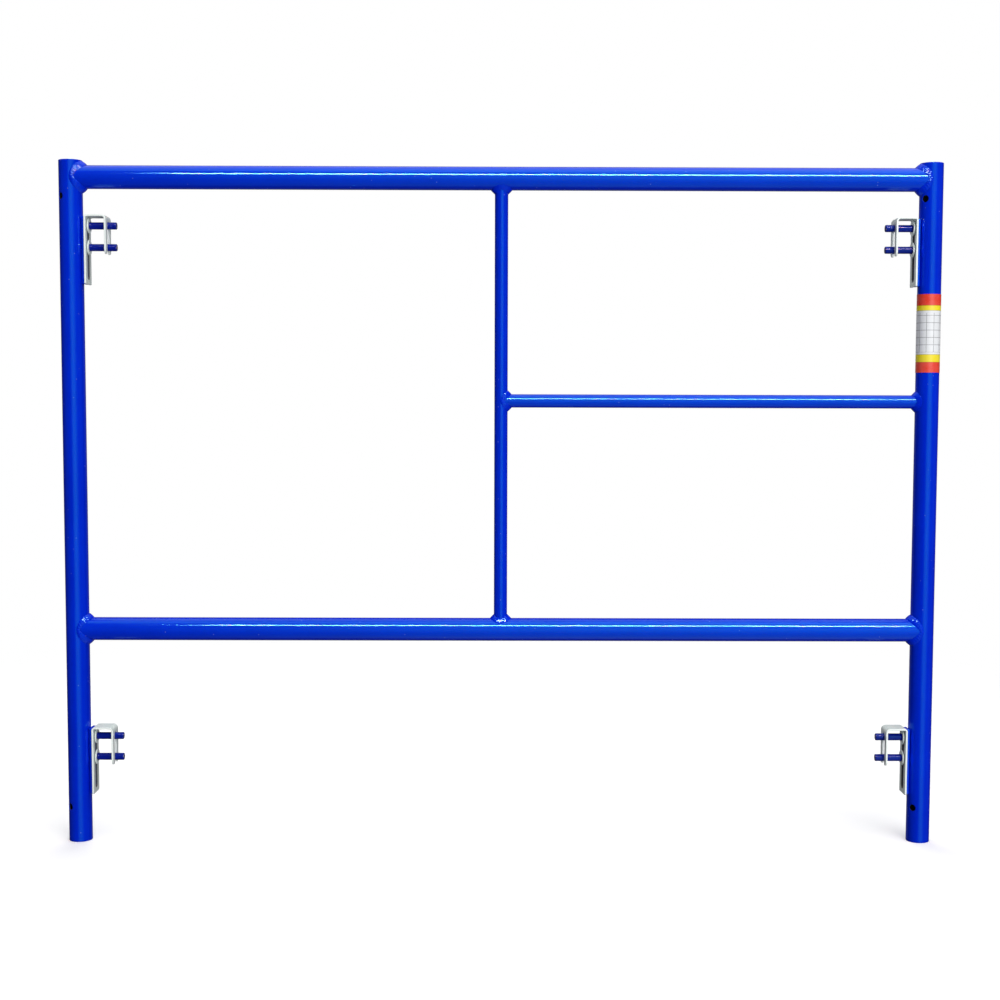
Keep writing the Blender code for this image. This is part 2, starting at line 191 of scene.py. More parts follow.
def turned(profile: Array, segments: int, **marks: Array) -> Surface:
    """A profile carried round the Z axis: x = r cos a, y = r sin a, z = height.

    Args:
        profile: Radii and heights, of shape (n, 2), from pole to pole or as a closed loop.
        segments: Steps round the axis.
        **marks: Values per profile point.

    Returns:
        The turned skin.
    """
    angle = np.arange(segments) / segments * TAU
    radius, height = profile[:, :1], profile[:, 1:]
    points = np.stack([radius * np.cos(angle), radius * np.sin(angle),
                       np.broadcast_to(height, (len(profile), segments))], axis=-1)
    closed = profile[0, 0] > 0
    spread = {name: np.broadcast_to(value[:, None], points.shape[:2]) for name, value in marks.items()}
    return grid(points, wrap_rows=closed, wrap_columns=True, **spread)


def arc(centre: tuple[float, float], radius: float, start: float, end: float, steps: int) -> Array:
    """Points along a circle's arc, its angles in degrees.

    Args:
        centre: Middle of the circle.
        radius: Its radius.
        start: First angle.
        end: Last angle.
        steps: Number of steps.

    Returns:
        Points of shape (steps + 1, 2).
    """
    angle = np.radians(np.linspace(start, end, steps + 1))
    return np.stack([centre[0] + radius * np.cos(angle), centre[1] + radius * np.sin(angle)], axis=1)


def unit(vectors: Array) -> Array:
    """The vectors at length 1."""
    return vectors / np.linalg.norm(vectors, axis=-1, keepdims=True)


def smooth_noise(length: Array, period: float, waves: int, seed: int) -> Array:
    """A smooth wandering value that repeats: a sum of sines with seeded phases and falling height.

    Args:
        length: Positions at which to read it.
        period: Distance after which it repeats.
        waves: Number of sines.
        seed: Seed of the phases.

    Returns:
        Values from -1 to 1, shaped like length.
    """
    rng = np.random.default_rng(seed)
    total = np.zeros_like(length)
    for wave in range(1, waves + 1):
        total += np.sin(TAU * wave * length / period + rng.uniform(0, TAU)) / wave
    return total / np.abs(total).max()


def painted_pieces() -> bpy.types.Collection:
    """The collection of painted pieces, which the strip light shines on."""
    return bpy.data.collections.get("painted") or bpy.data.collections.new("painted")


def make_piece(name: str, surface: Surface, material: bpy.types.Material, slot: Slot, body: str,
               replaced: str, crease: float = 38.0) -> bpy.types.Object:
    """Turn a surface into a finished piece of the model, parent it to its body and hide the frame's node that
    it stands for.

    Args:
        name: Name of the piece.
        surface: Its points, quads and marks.
        material: Its finish.
        slot: The record's material slot; it decides only whether the piece joins the painted pieces.
        body: The body that it rides on.
        replaced: The frame's node that it stands for.
        crease: Angle in degrees above which an edge is crisp.

    Returns:
        The new object.
    """
    mesh = bpy.data.meshes.new(name)
    mesh.from_pydata(surface.points, [], surface.quads)
    for mark, values in surface.marks.items():
        mesh.attributes.new(mark, 'FLOAT', 'POINT').data.foreach_set("value", values.astype(np.float32))
    bm = bmesh.new()
    bm.from_mesh(mesh)
    bmesh.ops.remove_doubles(bm, verts=bm.verts, dist=0.002 * MM)
    bmesh.ops.recalc_face_normals(bm, faces=bm.faces)
    open_edges = sum(1 for edge in bm.edges if len(edge.link_faces) != 2)
    if bm.calc_volume(signed=True) < 0:
        bmesh.ops.reverse_faces(bm, faces=bm.faces)
    bm.to_mesh(mesh)
    bm.free()
    mesh.shade_smooth()
    mesh.set_sharp_from_angle(angle=math.radians(crease))
    piece = bpy.data.objects.new(name, mesh)
    bpy.context.scene.collection.objects.link(piece)
    mesh.materials.append(material)
    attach(piece, body)
    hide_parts(replaced)
    if slot is Slot.ENAMEL:
        painted_pieces().objects.link(piece)
    LOG.info("%s: %d faces, %d open edges, on %s", name, len(mesh.polygons), open_edges, body)
    return piece


# ----------------------------------------------------------------------------------------------
# Finishes
# ----------------------------------------------------------------------------------------------


class Graph:
    """Adds nodes to one node tree and links them."""

    def __init__(self, tree: bpy.types.NodeTree) -> None:
        """Work on a tree, starting empty."""
        self.tree = tree
        tree.nodes.clear()

    def node(self, kind: str, inputs: dict[str | int, object] | None = None,
             **settings: object) -> bpy.types.Node:
        """Add a node.

        Args:
            kind: Type name without its ShaderNode prefix.
            inputs: Values or source sockets, by input name or number.
            **settings: Properties of the node.

        Returns:
            The new node.
        """
        node = self.tree.nodes.new("ShaderNode" + kind)
        for key, value in settings.items():
            setattr(node, key, value)
        for key, value in (inputs or {}).items():
            if isinstance(value, bpy.types.NodeSocket):
                self.tree.links.new(value, node.inputs[key])
            else:
                node.inputs[key].default_value = value
        return node

    def math(self, operation: str, *values: object) -> Socket:
        """The result of a Math node on two or three values."""
        return self.node("Math", dict(enumerate(values)), operation=operation).outputs[0]

    def noise(self, vector: Socket, scale: float | Socket, detail: float = 3.0,
              roughness: float = 0.5) -> Socket:
        """The value of a Noise texture."""
        inputs = {"Vector": vector, "Scale": scale, "Detail": detail, "Roughness": roughness}
        return self.node("TexNoise", inputs).outputs[0]

    def span(self, value: Socket, low: float | Socket, high: float | Socket, out_low: float = 0.0,
             out_high: float = 1.0) -> Socket:
        """A value mapped smoothly from one range to another, and held at its ends."""
        inputs = {0: value, 1: low, 2: high, 3: out_low, 4: out_high}
        node = self.node("MapRange", inputs, interpolation_type='SMOOTHSTEP')
        return node.outputs[0]

    def blend(self, factor: Socket | float, first: object, second: object, mode: str = 'MIX') -> Socket:
        """Two colours mixed by a factor.

        Args:
            factor: Share of the second colour.
            first: First colour.
            second: Second colour.
            mode: How they are blended.

        Returns:
            The mixed colour.
        """
        node = self.node("Mix", data_type='RGBA', blend_type=mode)
        for key, value in ((0, factor), (6, first), (7, second)):
            if isinstance(value, bpy.types.NodeSocket):
                self.tree.links.new(value, node.inputs[key])
            elif key == 0:
                node.inputs[key].default_value = value
            else:
                node.inputs[key].default_value = (*value[:3], 1.0)
        return node.outputs[2]

    def group(self, tree: bpy.types.NodeTree, **inputs: object) -> bpy.types.Node:
        """Place a node group, with its inputs set by name."""
        named = {key.replace("_", " "): value for key, value in inputs.items()}
        return self.node("Group", named, node_tree=tree)

    def place(self) -> Socket:
        """Coordinates in the piece's own axes."""
        return self.node("TexCoord").outputs["Object"]

    def mark(self, name: str) -> Socket:
        """A mark of the piece's surface."""
        return self.node("Attribute", attribute_name=name).outputs["Fac"]

    def tinted(self, colour: Socket, mask: Socket, share: float, tint: tuple[float, float, float]) -> Socket:
        """A colour blended towards a tint where a mask is strong."""
        return self.blend(self.math('MULTIPLY', mask, share), colour, tint)

    def stretched(self, vector: Socket, scale: tuple[float, float, float]) -> Socket:
        """Coordinates scaled along each axis."""
        return self.node("Mapping", {"Vector": vector, "Scale": scale}).outputs[0]


def new_group(name: str, inputs: Iterable[tuple[str, str, float | None]],
              outputs: Iterable[str]) -> tuple[Graph, dict[str, Socket], bpy.types.Node]:
    """Start a shader node group.

    Args:
        name: Name of the group.
        inputs: Name, kind (Vector, Float) and default of each input.
        outputs: Names of its outputs, all single values.

    Returns:
        The graph to fill, the group's inputs as sockets, and its output node.
    """
    tree = bpy.data.node_groups.new(name, 'ShaderNodeTree')
    graph = Graph(tree)
    for label, kind, default in inputs:
        socket = tree.interface.new_socket(label, in_out='INPUT', socket_type="NodeSocket" + kind)
        if default is not None:
            socket.default_value = default
    for label in outputs:
        tree.interface.new_socket(label, in_out='OUTPUT', socket_type='NodeSocketFloat')
    source = tree.nodes.new("NodeGroupInput")
    sink = tree.nodes.new("NodeGroupOutput")
    return graph, {socket.name: socket for socket in source.outputs}, sink


class Effects:
    """Shared surface effects, each built once as a node group."""

    def __init__(self) -> None:
        """Build every group."""
        self.peel = self._peel()
        self.mottle = self._mottle()
        self.scuff = self._scuff()
        self.grime = self._grime()

    @staticmethod
    def _peel() -> bpy.types.NodeTree:
        """Skin of a sprayed coat: fine orange peel, longer sags and a few dust nibs."""
        graph, given, sink = new_group("sprayed_skin", (
            ("Vector", "Vector", None), ("Peel Scale", "Float", 380.0), ("Sag Scale", "Float", 45.0),
            ("Sag Share", "Float", 0.6), ("Nib Amount", "Float", 0.3)), ("Height",))
        peel = graph.noise(given["Vector"], given["Peel Scale"], 1.0)
        sag = graph.noise(given["Vector"], given["Sag Scale"], 2.0)
        cells = graph.node("TexVoronoi", {"Vector": given["Vector"], "Scale": 95.0}).outputs["Distance"]
        chosen = graph.span(graph.noise(given["Vector"], 60.0, 1.0), 0.66, 0.72)
        nib = graph.math('MULTIPLY', graph.span(cells, 0.16, 0.0), chosen)
        total = graph.math('MULTIPLY_ADD', sag, given["Sag Share"], peel)
        total = graph.math('MULTIPLY_ADD', nib, given["Nib Amount"], total)
        graph.tree.links.new(total, sink.inputs["Height"])
        return graph.tree

    @staticmethod
    def _mottle() -> bpy.types.NodeTree:
        """Uneven tone: broad clouds broken up by a finer grain."""
        graph, given, sink = new_group("mottled_tone", (
            ("Vector", "Vector", None), ("Cloud Scale", "Float", 8.0), ("Grain Scale", "Float", 160.0),
            ("Grain Share", "Float", 0.3)), ("Tone",))
        cloud = graph.noise(given["Vector"], given["Cloud Scale"], 3.0)
        grain = graph.noise(given["Vector"], given["Grain Scale"], 4.0)
        centred = graph.math('SUBTRACT', grain, 0.5)
        total = graph.math('MULTIPLY_ADD', centred, given["Grain Share"], cloud)
        graph.tree.links.new(graph.span(total, 0.25, 0.75), sink.inputs["Tone"])
        return graph.tree

    @staticmethod
    def _scuff() -> bpy.types.NodeTree:
        """Broken-edged patches where a piece's wear mark is strong."""
        graph, given, sink = new_group("edge_scuff", (
            ("Vector", "Vector", None), ("Wear", "Float", 0.0), ("Scale", "Float", 260.0),
            ("Amount", "Float", 0.5)), ("Mask",))
        breakup = graph.noise(given["Vector"], given["Scale"], 5.0, 0.62)
        reach = graph.math('MULTIPLY', given["Wear"], given["Amount"])
        level = graph.math('ADD', breakup, reach)
        graph.tree.links.new(graph.span(level, 0.92, 1.0), sink.inputs["Mask"])
        return graph.tree

    @staticmethod
    def _grime() -> bpy.types.NodeTree:
        """Sparse specks of dust and overspray."""
        graph, given, sink = new_group("dust_specks", (
            ("Vector", "Vector", None), ("Scale", "Float", 240.0), ("Amount", "Float", 0.06)), ("Mask",))
        cells = graph.node("TexVoronoi", {"Vector": given["Vector"], "Scale": given["Scale"]})
        pick = graph.node("SeparateColor", {"Color": cells.outputs["Color"]}).outputs[0]
        chosen = graph.math('LESS_THAN', pick, given["Amount"])
        spot = graph.span(cells.outputs["Distance"], 0.28, 0.12)
        graph.tree.links.new(graph.math('MULTIPLY', chosen, spot), sink.inputs["Mask"])
        return graph.tree


def new_material(name: str) -> tuple[Graph, bpy.types.Material]:
    """A material with an empty node tree."""
    material = bpy.data.materials.new(name)
    material.use_nodes = True
    return Graph(material.node_tree), material


@dataclass(frozen=True)
class Enamel:
    """Glossy blue paint on steel, bare and dull inside the tubes."""

    name: str
    light: tuple[float, float, float] = (0.0002, 0.0200, 0.64)
    deep: tuple[float, float, float] = (0.0002, 0.0150, 0.58)
    gloss_tint: tuple[float, float, float, float] = (0.04, 0.80, 1.0, 1.0)
    lacquer: float = 0.055
    chip: tuple[float, float, float] = (0.20, 0.22, 0.26)
    steel: tuple[float, float, float] = (0.030, 0.030, 0.032)
    rust: tuple[float, float, float] = (0.055, 0.040, 0.032)
    dust: tuple[float, float, float] = (0.55, 0.62, 0.80)
    roughness: float = 0.09
    peel_depth: float = 0.08
    sag_share: float = 0.35
    scuffing: float = 0.30

    def build(self, effects: Effects) -> bpy.types.Material:
        """Make the material.

        Args:
            effects: The shared node groups.

        Returns:
            The finished material.
        """
        graph, material = new_material(self.name)
        place = graph.place()
        wear = graph.mark("wear")
        bore = graph.mark("bore")
        tone = graph.group(effects.mottle, Vector=place, Cloud_Scale=9.0, Grain_Scale=120.0).outputs[0]
        scuff = graph.group(effects.scuff, Vector=place, Wear=wear, Amount=self.scuffing).outputs[0]
        dust = graph.group(effects.grime, Vector=place, Scale=210.0, Amount=0.022).outputs[0]
        colour = graph.blend(tone, self.deep, self.light)
        colour = graph.blend(scuff, colour, self.chip)
        colour = graph.tinted(colour, dust, 0.16, self.dust)
        rust = graph.noise(place, 190.0, 5.0)
        inside = graph.blend(rust, self.steel, self.rust)
        edge = graph.math('MULTIPLY_ADD', graph.noise(place, 120.0, 3.0), 0.5, -0.25)
        raw = graph.span(graph.math('ADD', bore, edge), 0.35, 0.55)
        colour = graph.blend(raw, colour, inside)
        dull = graph.math('MAXIMUM', raw, scuff)
        gloss = graph.span(tone, 0.0, 1.0, self.roughness * 1.25, self.roughness * 0.85)
        rough = graph.math('MULTIPLY_ADD', dull, 0.42, gloss)
        skin = graph.group(effects.peel, Vector=place, Sag_Share=self.sag_share).outputs[0]
        bump = graph.node("Bump", {"Strength": self.peel_depth, "Distance": 0.0012, "Height": skin})
        shader = graph.node("BsdfPrincipled", {
            "Base Color": colour, "Roughness": rough, "Metallic": graph.math('MULTIPLY', dull, 0.6),
            "Specular Tint": self.gloss_tint, "IOR": 1.5, "Coat Roughness": 0.04,
            "Coat Weight": graph.span(dull, 0.0, 1.0, self.lacquer, 0.0), "Normal": bump.outputs[0]})
        graph.node("OutputMaterial", {"Surface": shader.outputs[0]})
        return material


@dataclass(frozen=True)
class Zinc:
    """Electroplated zinc: pale, satin and slightly cloudy, with drawn lines along Z, a painted highlight on
    its rims and a painted shade on the slot's rims.
    """

    name: str
    pale: tuple[float, float, float] = (0.89, 0.96, 0.935)
    cloud: tuple[float, float, float] = (0.68, 0.77, 0.745)
    scratch: tuple[float, float, float] = (0.42, 0.44, 0.45)
    # Painted highlight: the palest zinc, laid on rims where the wear mark is strong, as if lit.
    edge: tuple[float, float, float] = (0.90, 0.96, 0.935)
    rubbed: tuple[float, float, float] = (0.88, 0.89, 0.90)
    speck: tuple[float, float, float] = (0.34, 0.36, 0.37)
    # Painted shade: near-black colour for the slot's rims, where the shade mark is set.
    recess: tuple[float, float, float] = (0.030, 0.036, 0.036)
    roughness: float = 0.28
    metallic: float = 0.22
    grain: tuple[float, float, float] = (900.0, 900.0, 60.0)

    def build(self, effects: Effects) -> bpy.types.Material:
        """Make the material.

        Args:
            effects: The shared node groups.

        Returns:
            The finished material.
        """
        graph, material = new_material(self.name)
        place = graph.place()
        wear = graph.mark("wear")
        tone = graph.group(effects.mottle, Vector=place, Cloud_Scale=85.0, Grain_Scale=700.0,
                           Grain_Share=0.55).outputs[0]
        lines = graph.noise(graph.stretched(place, self.grain), 1.0, 4.0)
        scuff = graph.group(effects.scuff, Vector=place, Wear=wear, Scale=420.0, Amount=0.42).outputs[0]
        dust = graph.group(effects.grime, Vector=place, Scale=520.0, Amount=0.05).outputs[0]
        colour = graph.blend(tone, self.cloud, self.pale)
        colour = graph.blend(graph.span(lines, 0.55, 0.8, 0.0, 0.45), colour, self.scratch)
        colour = graph.tinted(colour, scuff, 0.7, self.rubbed)
        colour = graph.tinted(colour, dust, 0.5, self.speck)
        # Painted highlight: the wear mark pulls the lock's rims, and the washers at half strength, to the
        # palest zinc; the rubbed patches above are real wear.
        colour = graph.tinted(colour, wear, 0.85, self.edge)
        # Painted shade: the shade mark pulls the slot's rims almost to black.
        colour = graph.tinted(colour, graph.mark("shade"), 0.9, self.recess)
        rough = graph.span(tone, 0.0, 1.0, self.roughness + 0.16, self.roughness)
        rough = graph.math('MULTIPLY_ADD', scuff, -0.12, rough)
        height = graph.math('MULTIPLY_ADD', lines, 0.5, tone)
        bump = graph.node("Bump", {"Strength": 0.16, "Distance": 0.0004, "Height": height})
        metallic = graph.span(tone, 0.0, 1.0, self.metallic - 0.14, self.metallic)
        # The wear mark also makes the rims almost non-metallic, so that they keep the painted highlight.
        metallic = graph.math('MULTIPLY', metallic, graph.span(wear, 0.0, 1.0, 1.0, 0.06))
        shader = graph.node("BsdfPrincipled", {
            "Base Color": colour, "Roughness": rough, "Metallic": metallic, "Normal": bump.outputs[0]})
        graph.node("OutputMaterial", {"Surface": shader.outputs[0]})
        return material


@dataclass(frozen=True)
class Film:
    """Printed vinyl: plain bands across a white panel with a blank ruled grid."""

    name: str
    bottom: float
    top: float
    red: tuple[float, float, float] = (0.80, 0.045, 0.022)
    yellow: tuple[float, float, float] = (0.93, 0.77, 0.006)
    white: tuple[float, float, float] = (0.83, 0.85, 0.88)
    ink: tuple[float, float, float] = (0.035, 0.04, 0.05)
    outline: tuple[float, float, float] = (0.16, 0.13, 0.01)
    soiling: tuple[float, float, float] = (0.55, 0.52, 0.50)
    rubbed: tuple[float, float, float] = (0.78, 0.78, 0.76)
    red_low: float = 18.5 * MM
    yellow_low: float = 13.5 * MM
    yellow_high: float = 9.0 * MM
    red_high: float = 20.0 * MM
    keyline: float = 0.8 * MM
    cell: float = 13.0 * MM
    margin: float = 4.0 * MM

    def build(self, effects: Effects) -> bpy.types.Material:
        """Make the material.

        Args:
            effects: The shared node groups.

        Returns:
            The finished material.
        """
        graph, material = new_material(self.name)
        place = graph.place()
        wear = graph.mark("wear")
        wrap = graph.mark("wrap")
        height = graph.node("SeparateXYZ", {0: place}).outputs["Z"]
        low, high = self.bottom + self.red_low, self.top - self.red_high
        panel_low, panel_high = low + self.yellow_low, high - self.yellow_high
        yellow = self._between(graph, height, low, high)
        panel = self._between(graph, height, panel_low, panel_high)
        colour = graph.blend(yellow, self.red, self.yellow)
        colour = graph.blend(panel, colour, self.white)
        edges = [self._line(graph, height, z, self.keyline) for z in (low, panel_low, panel_high, high)]
        keylines = edges[0]
        for edge in edges[1:]:
            keylines = graph.math('MAXIMUM', keylines, edge)
        colour = graph.tinted(colour, keylines, 0.55, self.outline)
        inner = self._between(graph, height, panel_low + self.margin, panel_high - self.margin)
        rules = self._rules(graph, height, panel_low + self.margin)
        ticks = self._rules(graph, wrap, 0.0)
        ruled = graph.math('MULTIPLY', graph.math('MAXIMUM', rules, ticks), inner)
        colour = graph.tinted(colour, ruled, 0.72, self.ink)
        tone = graph.group(effects.mottle, Vector=place, Cloud_Scale=40.0, Grain_Scale=900.0).outputs[0]
        colour = graph.tinted(colour, tone, 0.10, self.soiling)
        scuff = graph.group(effects.scuff, Vector=place, Wear=wear, Scale=300.0, Amount=0.34).outputs[0]
        colour = graph.tinted(colour, scuff, 0.5, self.rubbed)
        rough = graph.math('MULTIPLY_ADD', scuff, 0.25, graph.span(tone, 0.0, 1.0, 0.26, 0.38))
        ripple = graph.noise(place, 70.0, 2.0)
        bump = graph.node("Bump", {"Strength": 0.10, "Distance": 0.0008, "Height": ripple})
        shader = graph.node("BsdfPrincipled", {
            "Base Color": colour, "Roughness": rough, "Coat Weight": 0.25, "Coat Roughness": 0.12,
            "Normal": bump.outputs[0]})
        graph.node("OutputMaterial", {"Surface": shader.outputs[0]})
        return material

    @staticmethod
    def _between(graph: Graph, value: Socket, low: float, high: float) -> Socket:
        """1 where a value lies between two limits."""
        above = graph.math('GREATER_THAN', value, low)
        return graph.math('MULTIPLY', above, graph.math('LESS_THAN', value, high))

    @staticmethod
    def _line(graph: Graph, value: Socket, place: float, width: float) -> Socket:
        """1 along a line of some width at a height."""
        return graph.math('COMPARE', value, place, width / 2)

    def _rules(self, graph: Graph, value: Socket, start: float) -> Socket:
        """Evenly spaced lines, one for each cell of the blank grid."""
        shifted = graph.math('SUBTRACT', value, start)
        phase = graph.math('PINGPONG', shifted, self.cell / 2)
        return graph.math('LESS_THAN', phase, self.keyline / 2)


@dataclass(frozen=True)
class Floor:
    """Plain pale studio floor with a faint cloudiness."""

    name: str = "studio_floor"
    pale: tuple[float, float, float] = (0.96, 0.96, 0.96)
    shade: tuple[float, float, float] = (0.93, 0.93, 0.935)
    glow: float = 0.12
    solid: float = 1.0
    gone: float = 2.4

    def build(self, effects: Effects) -> bpy.types.Material:
        """Make the material.

        Args:
            effects: The shared node groups.

        Returns:
            The finished material.
        """
        graph, material = new_material(self.name)
        place = graph.place()
        tone = graph.group(effects.mottle, Vector=place, Cloud_Scale=1.5, Grain_Scale=30.0).outputs[0]
        flat = graph.stretched(place, (1.0, 1.0, 0.0))
        reach = graph.node("VectorMath", {0: flat}, operation='LENGTH').outputs["Value"]
        shader = graph.node("BsdfPrincipled", {
            "Base Color": graph.blend(tone, self.shade, self.pale), "Roughness": 0.75,
            "Specular IOR Level": 0.1, "Emission Color": (1.0, 1.0, 1.0, 1.0), "Emission Strength": self.glow,
            "Alpha": graph.span(reach, self.solid, self.gone, 1.0, 0.0)})
        graph.node("OutputMaterial", {"Surface": shader.outputs[0]})
        return material


@dataclass
class Finishes:
    """Every material of the model."""

    effects: Effects
    tube: bpy.types.Material
    weld: bpy.types.Material
    bar: bpy.types.Material
    stud: bpy.types.Material
    strip: bpy.types.Material
    washer: bpy.types.Material
    film: bpy.types.Material

    @classmethod
    def build(cls, label_bottom: float, label_top: float) -> "Finishes":
        """Make them all.

        Args:
            label_bottom: Height of the label's lower edge.
            label_top: Height of its upper edge.

        Returns:
            The finishes.
        """
        effects = Effects()
        return cls(
            effects=effects,
            tube=Enamel("enamel_on_tube").build(effects),
            weld=Enamel("enamel_on_weld", gloss_tint=(0.05, 0.42, 0.6, 1.0), sag_share=0.6,
                        scuffing=0.0).build(effects),
            bar=Enamel("enamel_on_bar", roughness=0.19, peel_depth=0.12, scuffing=0.34).build(effects),
            # Painted shade: the studs take a much darker copy of the blue enamel, standing in for the shade
            # between the lock and the leg.
            stud=Enamel("enamel_on_stud", light=(0.0012, 0.007, 0.26), deep=(0.0008, 0.004, 0.19),
                        gloss_tint=(0.12, 0.36, 0.6, 1.0), roughness=0.14,
                        peel_depth=0.2, scuffing=0.40).build(effects),
            strip=Zinc("zinc_on_strip").build(effects),
            washer=Zinc("zinc_on_washer", roughness=0.30, grain=(500.0, 500.0, 500.0)).build(effects),
            film=Film("banded_label_film", label_bottom, label_top).build(effects),
        )


# ----------------------------------------------------------------------------------------------
# Tubes
# ----------------------------------------------------------------------------------------------


@dataclass
class Leg:
    """An upright tube, open at both ends and drilled through near each of them."""

    node: str
    wall: float = 2.4 * MM
    rim: float = 0.6 * MM
    hole_radius: float = 6.1 * MM
    hole_inset: float = 63.5 * MM
    hole_angles: tuple[float, float] = (225.0, 45.0)
    hole_round: float = 0.5 * MM
    columns: int = 144
    window: int = 9
    seam_angle: float = 150.0
    seam_rise: float = 0.45 * MM
    seam_width: float = 1.1 * MM
    bare_depth: float = 55.0 * MM

    def __post_init__(self) -> None:
        """Read the tube's place from the frame."""
        low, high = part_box(self.node)
        self.x = (low.x + high.x) / 2
        self.radius = (high.x - low.x) / 2
        self.height = high.z
        self.angles = np.arange(self.columns) / self.columns * TAU
        self.half_window = self.window / self.columns * TAU

    def bore_radius(self, angle: Array) -> Array:
        """Inner radius at an angle, less where the tube's own weld seam stands inside it."""
        away = (angle - math.radians(self.seam_angle) + math.pi) % TAU - math.pi
        ridge = self.seam_rise * np.exp(-(away * self.radius / self.seam_width) ** 2)
        return self.radius - self.wall - ridge

    def levels(self) -> tuple[Array, list[int]]:
        """Heights of the wall's rows, and the first row of each pair of holes' window."""
        reach = self.half_window * self.radius
        low, high = self.hole_inset, self.height - self.hole_inset
        window = np.linspace(-reach, reach, 2 * self.window + 1)
        end = np.linspace(self.rim, low - reach, 10)[:-1]
        middle = np.linspace(low + reach, high - reach, 48)[1:-1]
        rows = np.concatenate([end, low + window, middle, high + window, self.height - end[::-1]])
        return rows, [len(end), len(end) + len(window) + len(middle)]

    def skin(self, inner: bool) -> Surface:
        """The outer or inner wall, with windows left for the holes.

        Args:
            inner: Whether it is the inner wall.

        Returns:
            The wall, open where the holes go.
        """
        rows, starts = self.levels()
        radius = self.bore_radius(self.angles) if inner else np.full(self.columns, self.radius)
        points = self._ring(self.angles, radius, rows[:, None])
        keep = np.ones((len(rows) - 1, self.columns), bool)
        for start in starts:
            for angle in self.hole_angles:
                centre = round(angle / 360 * self.columns)
                columns = np.arange(centre - self.window, centre + self.window) % self.columns
                keep[start:start + 2 * self.window, columns] = False
        depth = np.minimum(rows, self.height - rows)
        bare = (np.clip(depth / self.bare_depth, 0, 1) if inner else np.zeros_like(rows))[:, None]
        wear = np.clip(1 - depth / (6 * MM), 0, 1)[:, None] * 0.8
        return grid(points, wrap_columns=True, keep=keep, bore=bare, wear=wear)

    def rim_band(self, top: bool) -> Surface:
        """The square-cut end: a quarter round, the flat ring and a quarter round inwards.

        Args:
            top: Whether it is the upper end.

        Returns:
            The band from the outer wall to the inner one.
        """
        turn = np.radians(np.linspace(0, 90, 5))
        bore = self.bore_radius(self.angles)
        outer = self.radius - self.rim * (1 - np.cos(turn))
        inner = self.rim * (1 - np.sin(turn))
        radius = np.concatenate([np.broadcast_to(outer[:, None], (5, self.columns)), bore + inner[:, None]])
        drop = np.concatenate([self.rim * (1 - np.sin(turn)), self.rim * (1 - np.cos(turn))])
        height = self.height - drop if top else drop
        points = self._ring(self.angles, radius, height[:, None])
        return grid(points, wrap_columns=True, wear=np.ones(points.shape[:2]))

    def hole(self, angle: float, height: float) -> Surface:
        """A drilled hole: rings from the window's square edge in to the drilled wall and out again.

        On each wall a ring's point is the window point mixed with the circle's. A point of the
        drilled wall at turn t lies r cos t off the drill's axis and r sin t above it.

        Args:
            angle: Direction of the hole, in degrees.
            height: Height of its axis.

        Returns:
            The surface round and through the hole.
        """
        n = 2 * self.window
        side = np.linspace(-1, 1, n + 1)[:-1]
        one = np.ones(n)
        square = np.stack([np.concatenate([one, -side, -one, side]),
                           np.concatenate([side, one, -side, -one])], axis=1)
        turn = np.arctan2(square[:, 1] * self.half_window * self.radius,
                          square[:, 0] * self.radius * math.sin(self.half_window))
        centre = math.radians(angle)
        edge_angle = square[:, 0] * self.half_window
        edge_height = square[:, 1] * self.half_window * self.radius
        curl = np.radians(np.linspace(0, 90, 5))
        walls = []
        for outer in (True, False):
            rings, marks = [], []
            for share in np.linspace(0, 1, 7)[:-1]:
                hole = self.hole_radius + self.hole_round
                radius = np.full(4 * n, self.radius) if outer else self.bore_radius(centre + edge_angle)
                around = np.arcsin(hole * np.cos(turn) / np.mean(radius))
                a = edge_angle * (1 - share) + around * share
                z = edge_height * (1 - share) + hole * np.sin(turn) * share
                radius = np.full(4 * n, self.radius) if outer else self.bore_radius(centre + a)
                rings.append(self._ring(centre + a, radius, height + z))
                marks.append(0.5 * share)
            for step in curl:
                hole = self.hole_radius + self.hole_round * (1 - math.sin(step))
                sunk = self.hole_round * (1 - math.cos(step))
                skin = self.radius if outer else self.radius - self.wall
                a = np.arcsin(hole * np.cos(turn) / skin)
                radius = np.full(4 * n, skin - sunk if outer else skin + sunk)
                rings.append(self._ring(centre + a, radius, height + hole * np.sin(turn)))
                marks.append(1.0)
            walls.append((rings, marks))
        (outside, outside_wear), (inside, inside_wear) = walls
        points = np.stack(outside + inside[::-1])
        wear = np.array(outside_wear + inside_wear[::-1])[:, None]
        bare = np.repeat([0.0, 0.9], [len(outside), len(inside)])[:, None]
        return grid(points, wrap_columns=True, wear=wear, bore=bare)

    @staticmethod
    def _ring(angle: Array, radius: Array, height: Array) -> Array:
        """Points at angles, radii and heights."""
        return np.stack(np.broadcast_arrays(radius * np.cos(angle), radius * np.sin(angle), height), axis=-1)

    def build(self, finishes: Finishes) -> bpy.types.Object:
        """Make the leg.

        Args:
            finishes: The model's materials.

        Returns:
            The finished piece.
        """
        parts = [self.skin(False), self.skin(True), self.rim_band(True), self.rim_band(False)]
        for height in (self.hole_inset, self.height - self.hole_inset):
            parts += [self.hole(angle, height) for angle in self.hole_angles]
        surface = joined(parts)
        surface.points = surface.points + np.array([self.x, 0.0, 0.0])
        return make_piece("fine_" + self.node, surface, finishes.tube, Slot.ENAMEL, "frame", self.node)


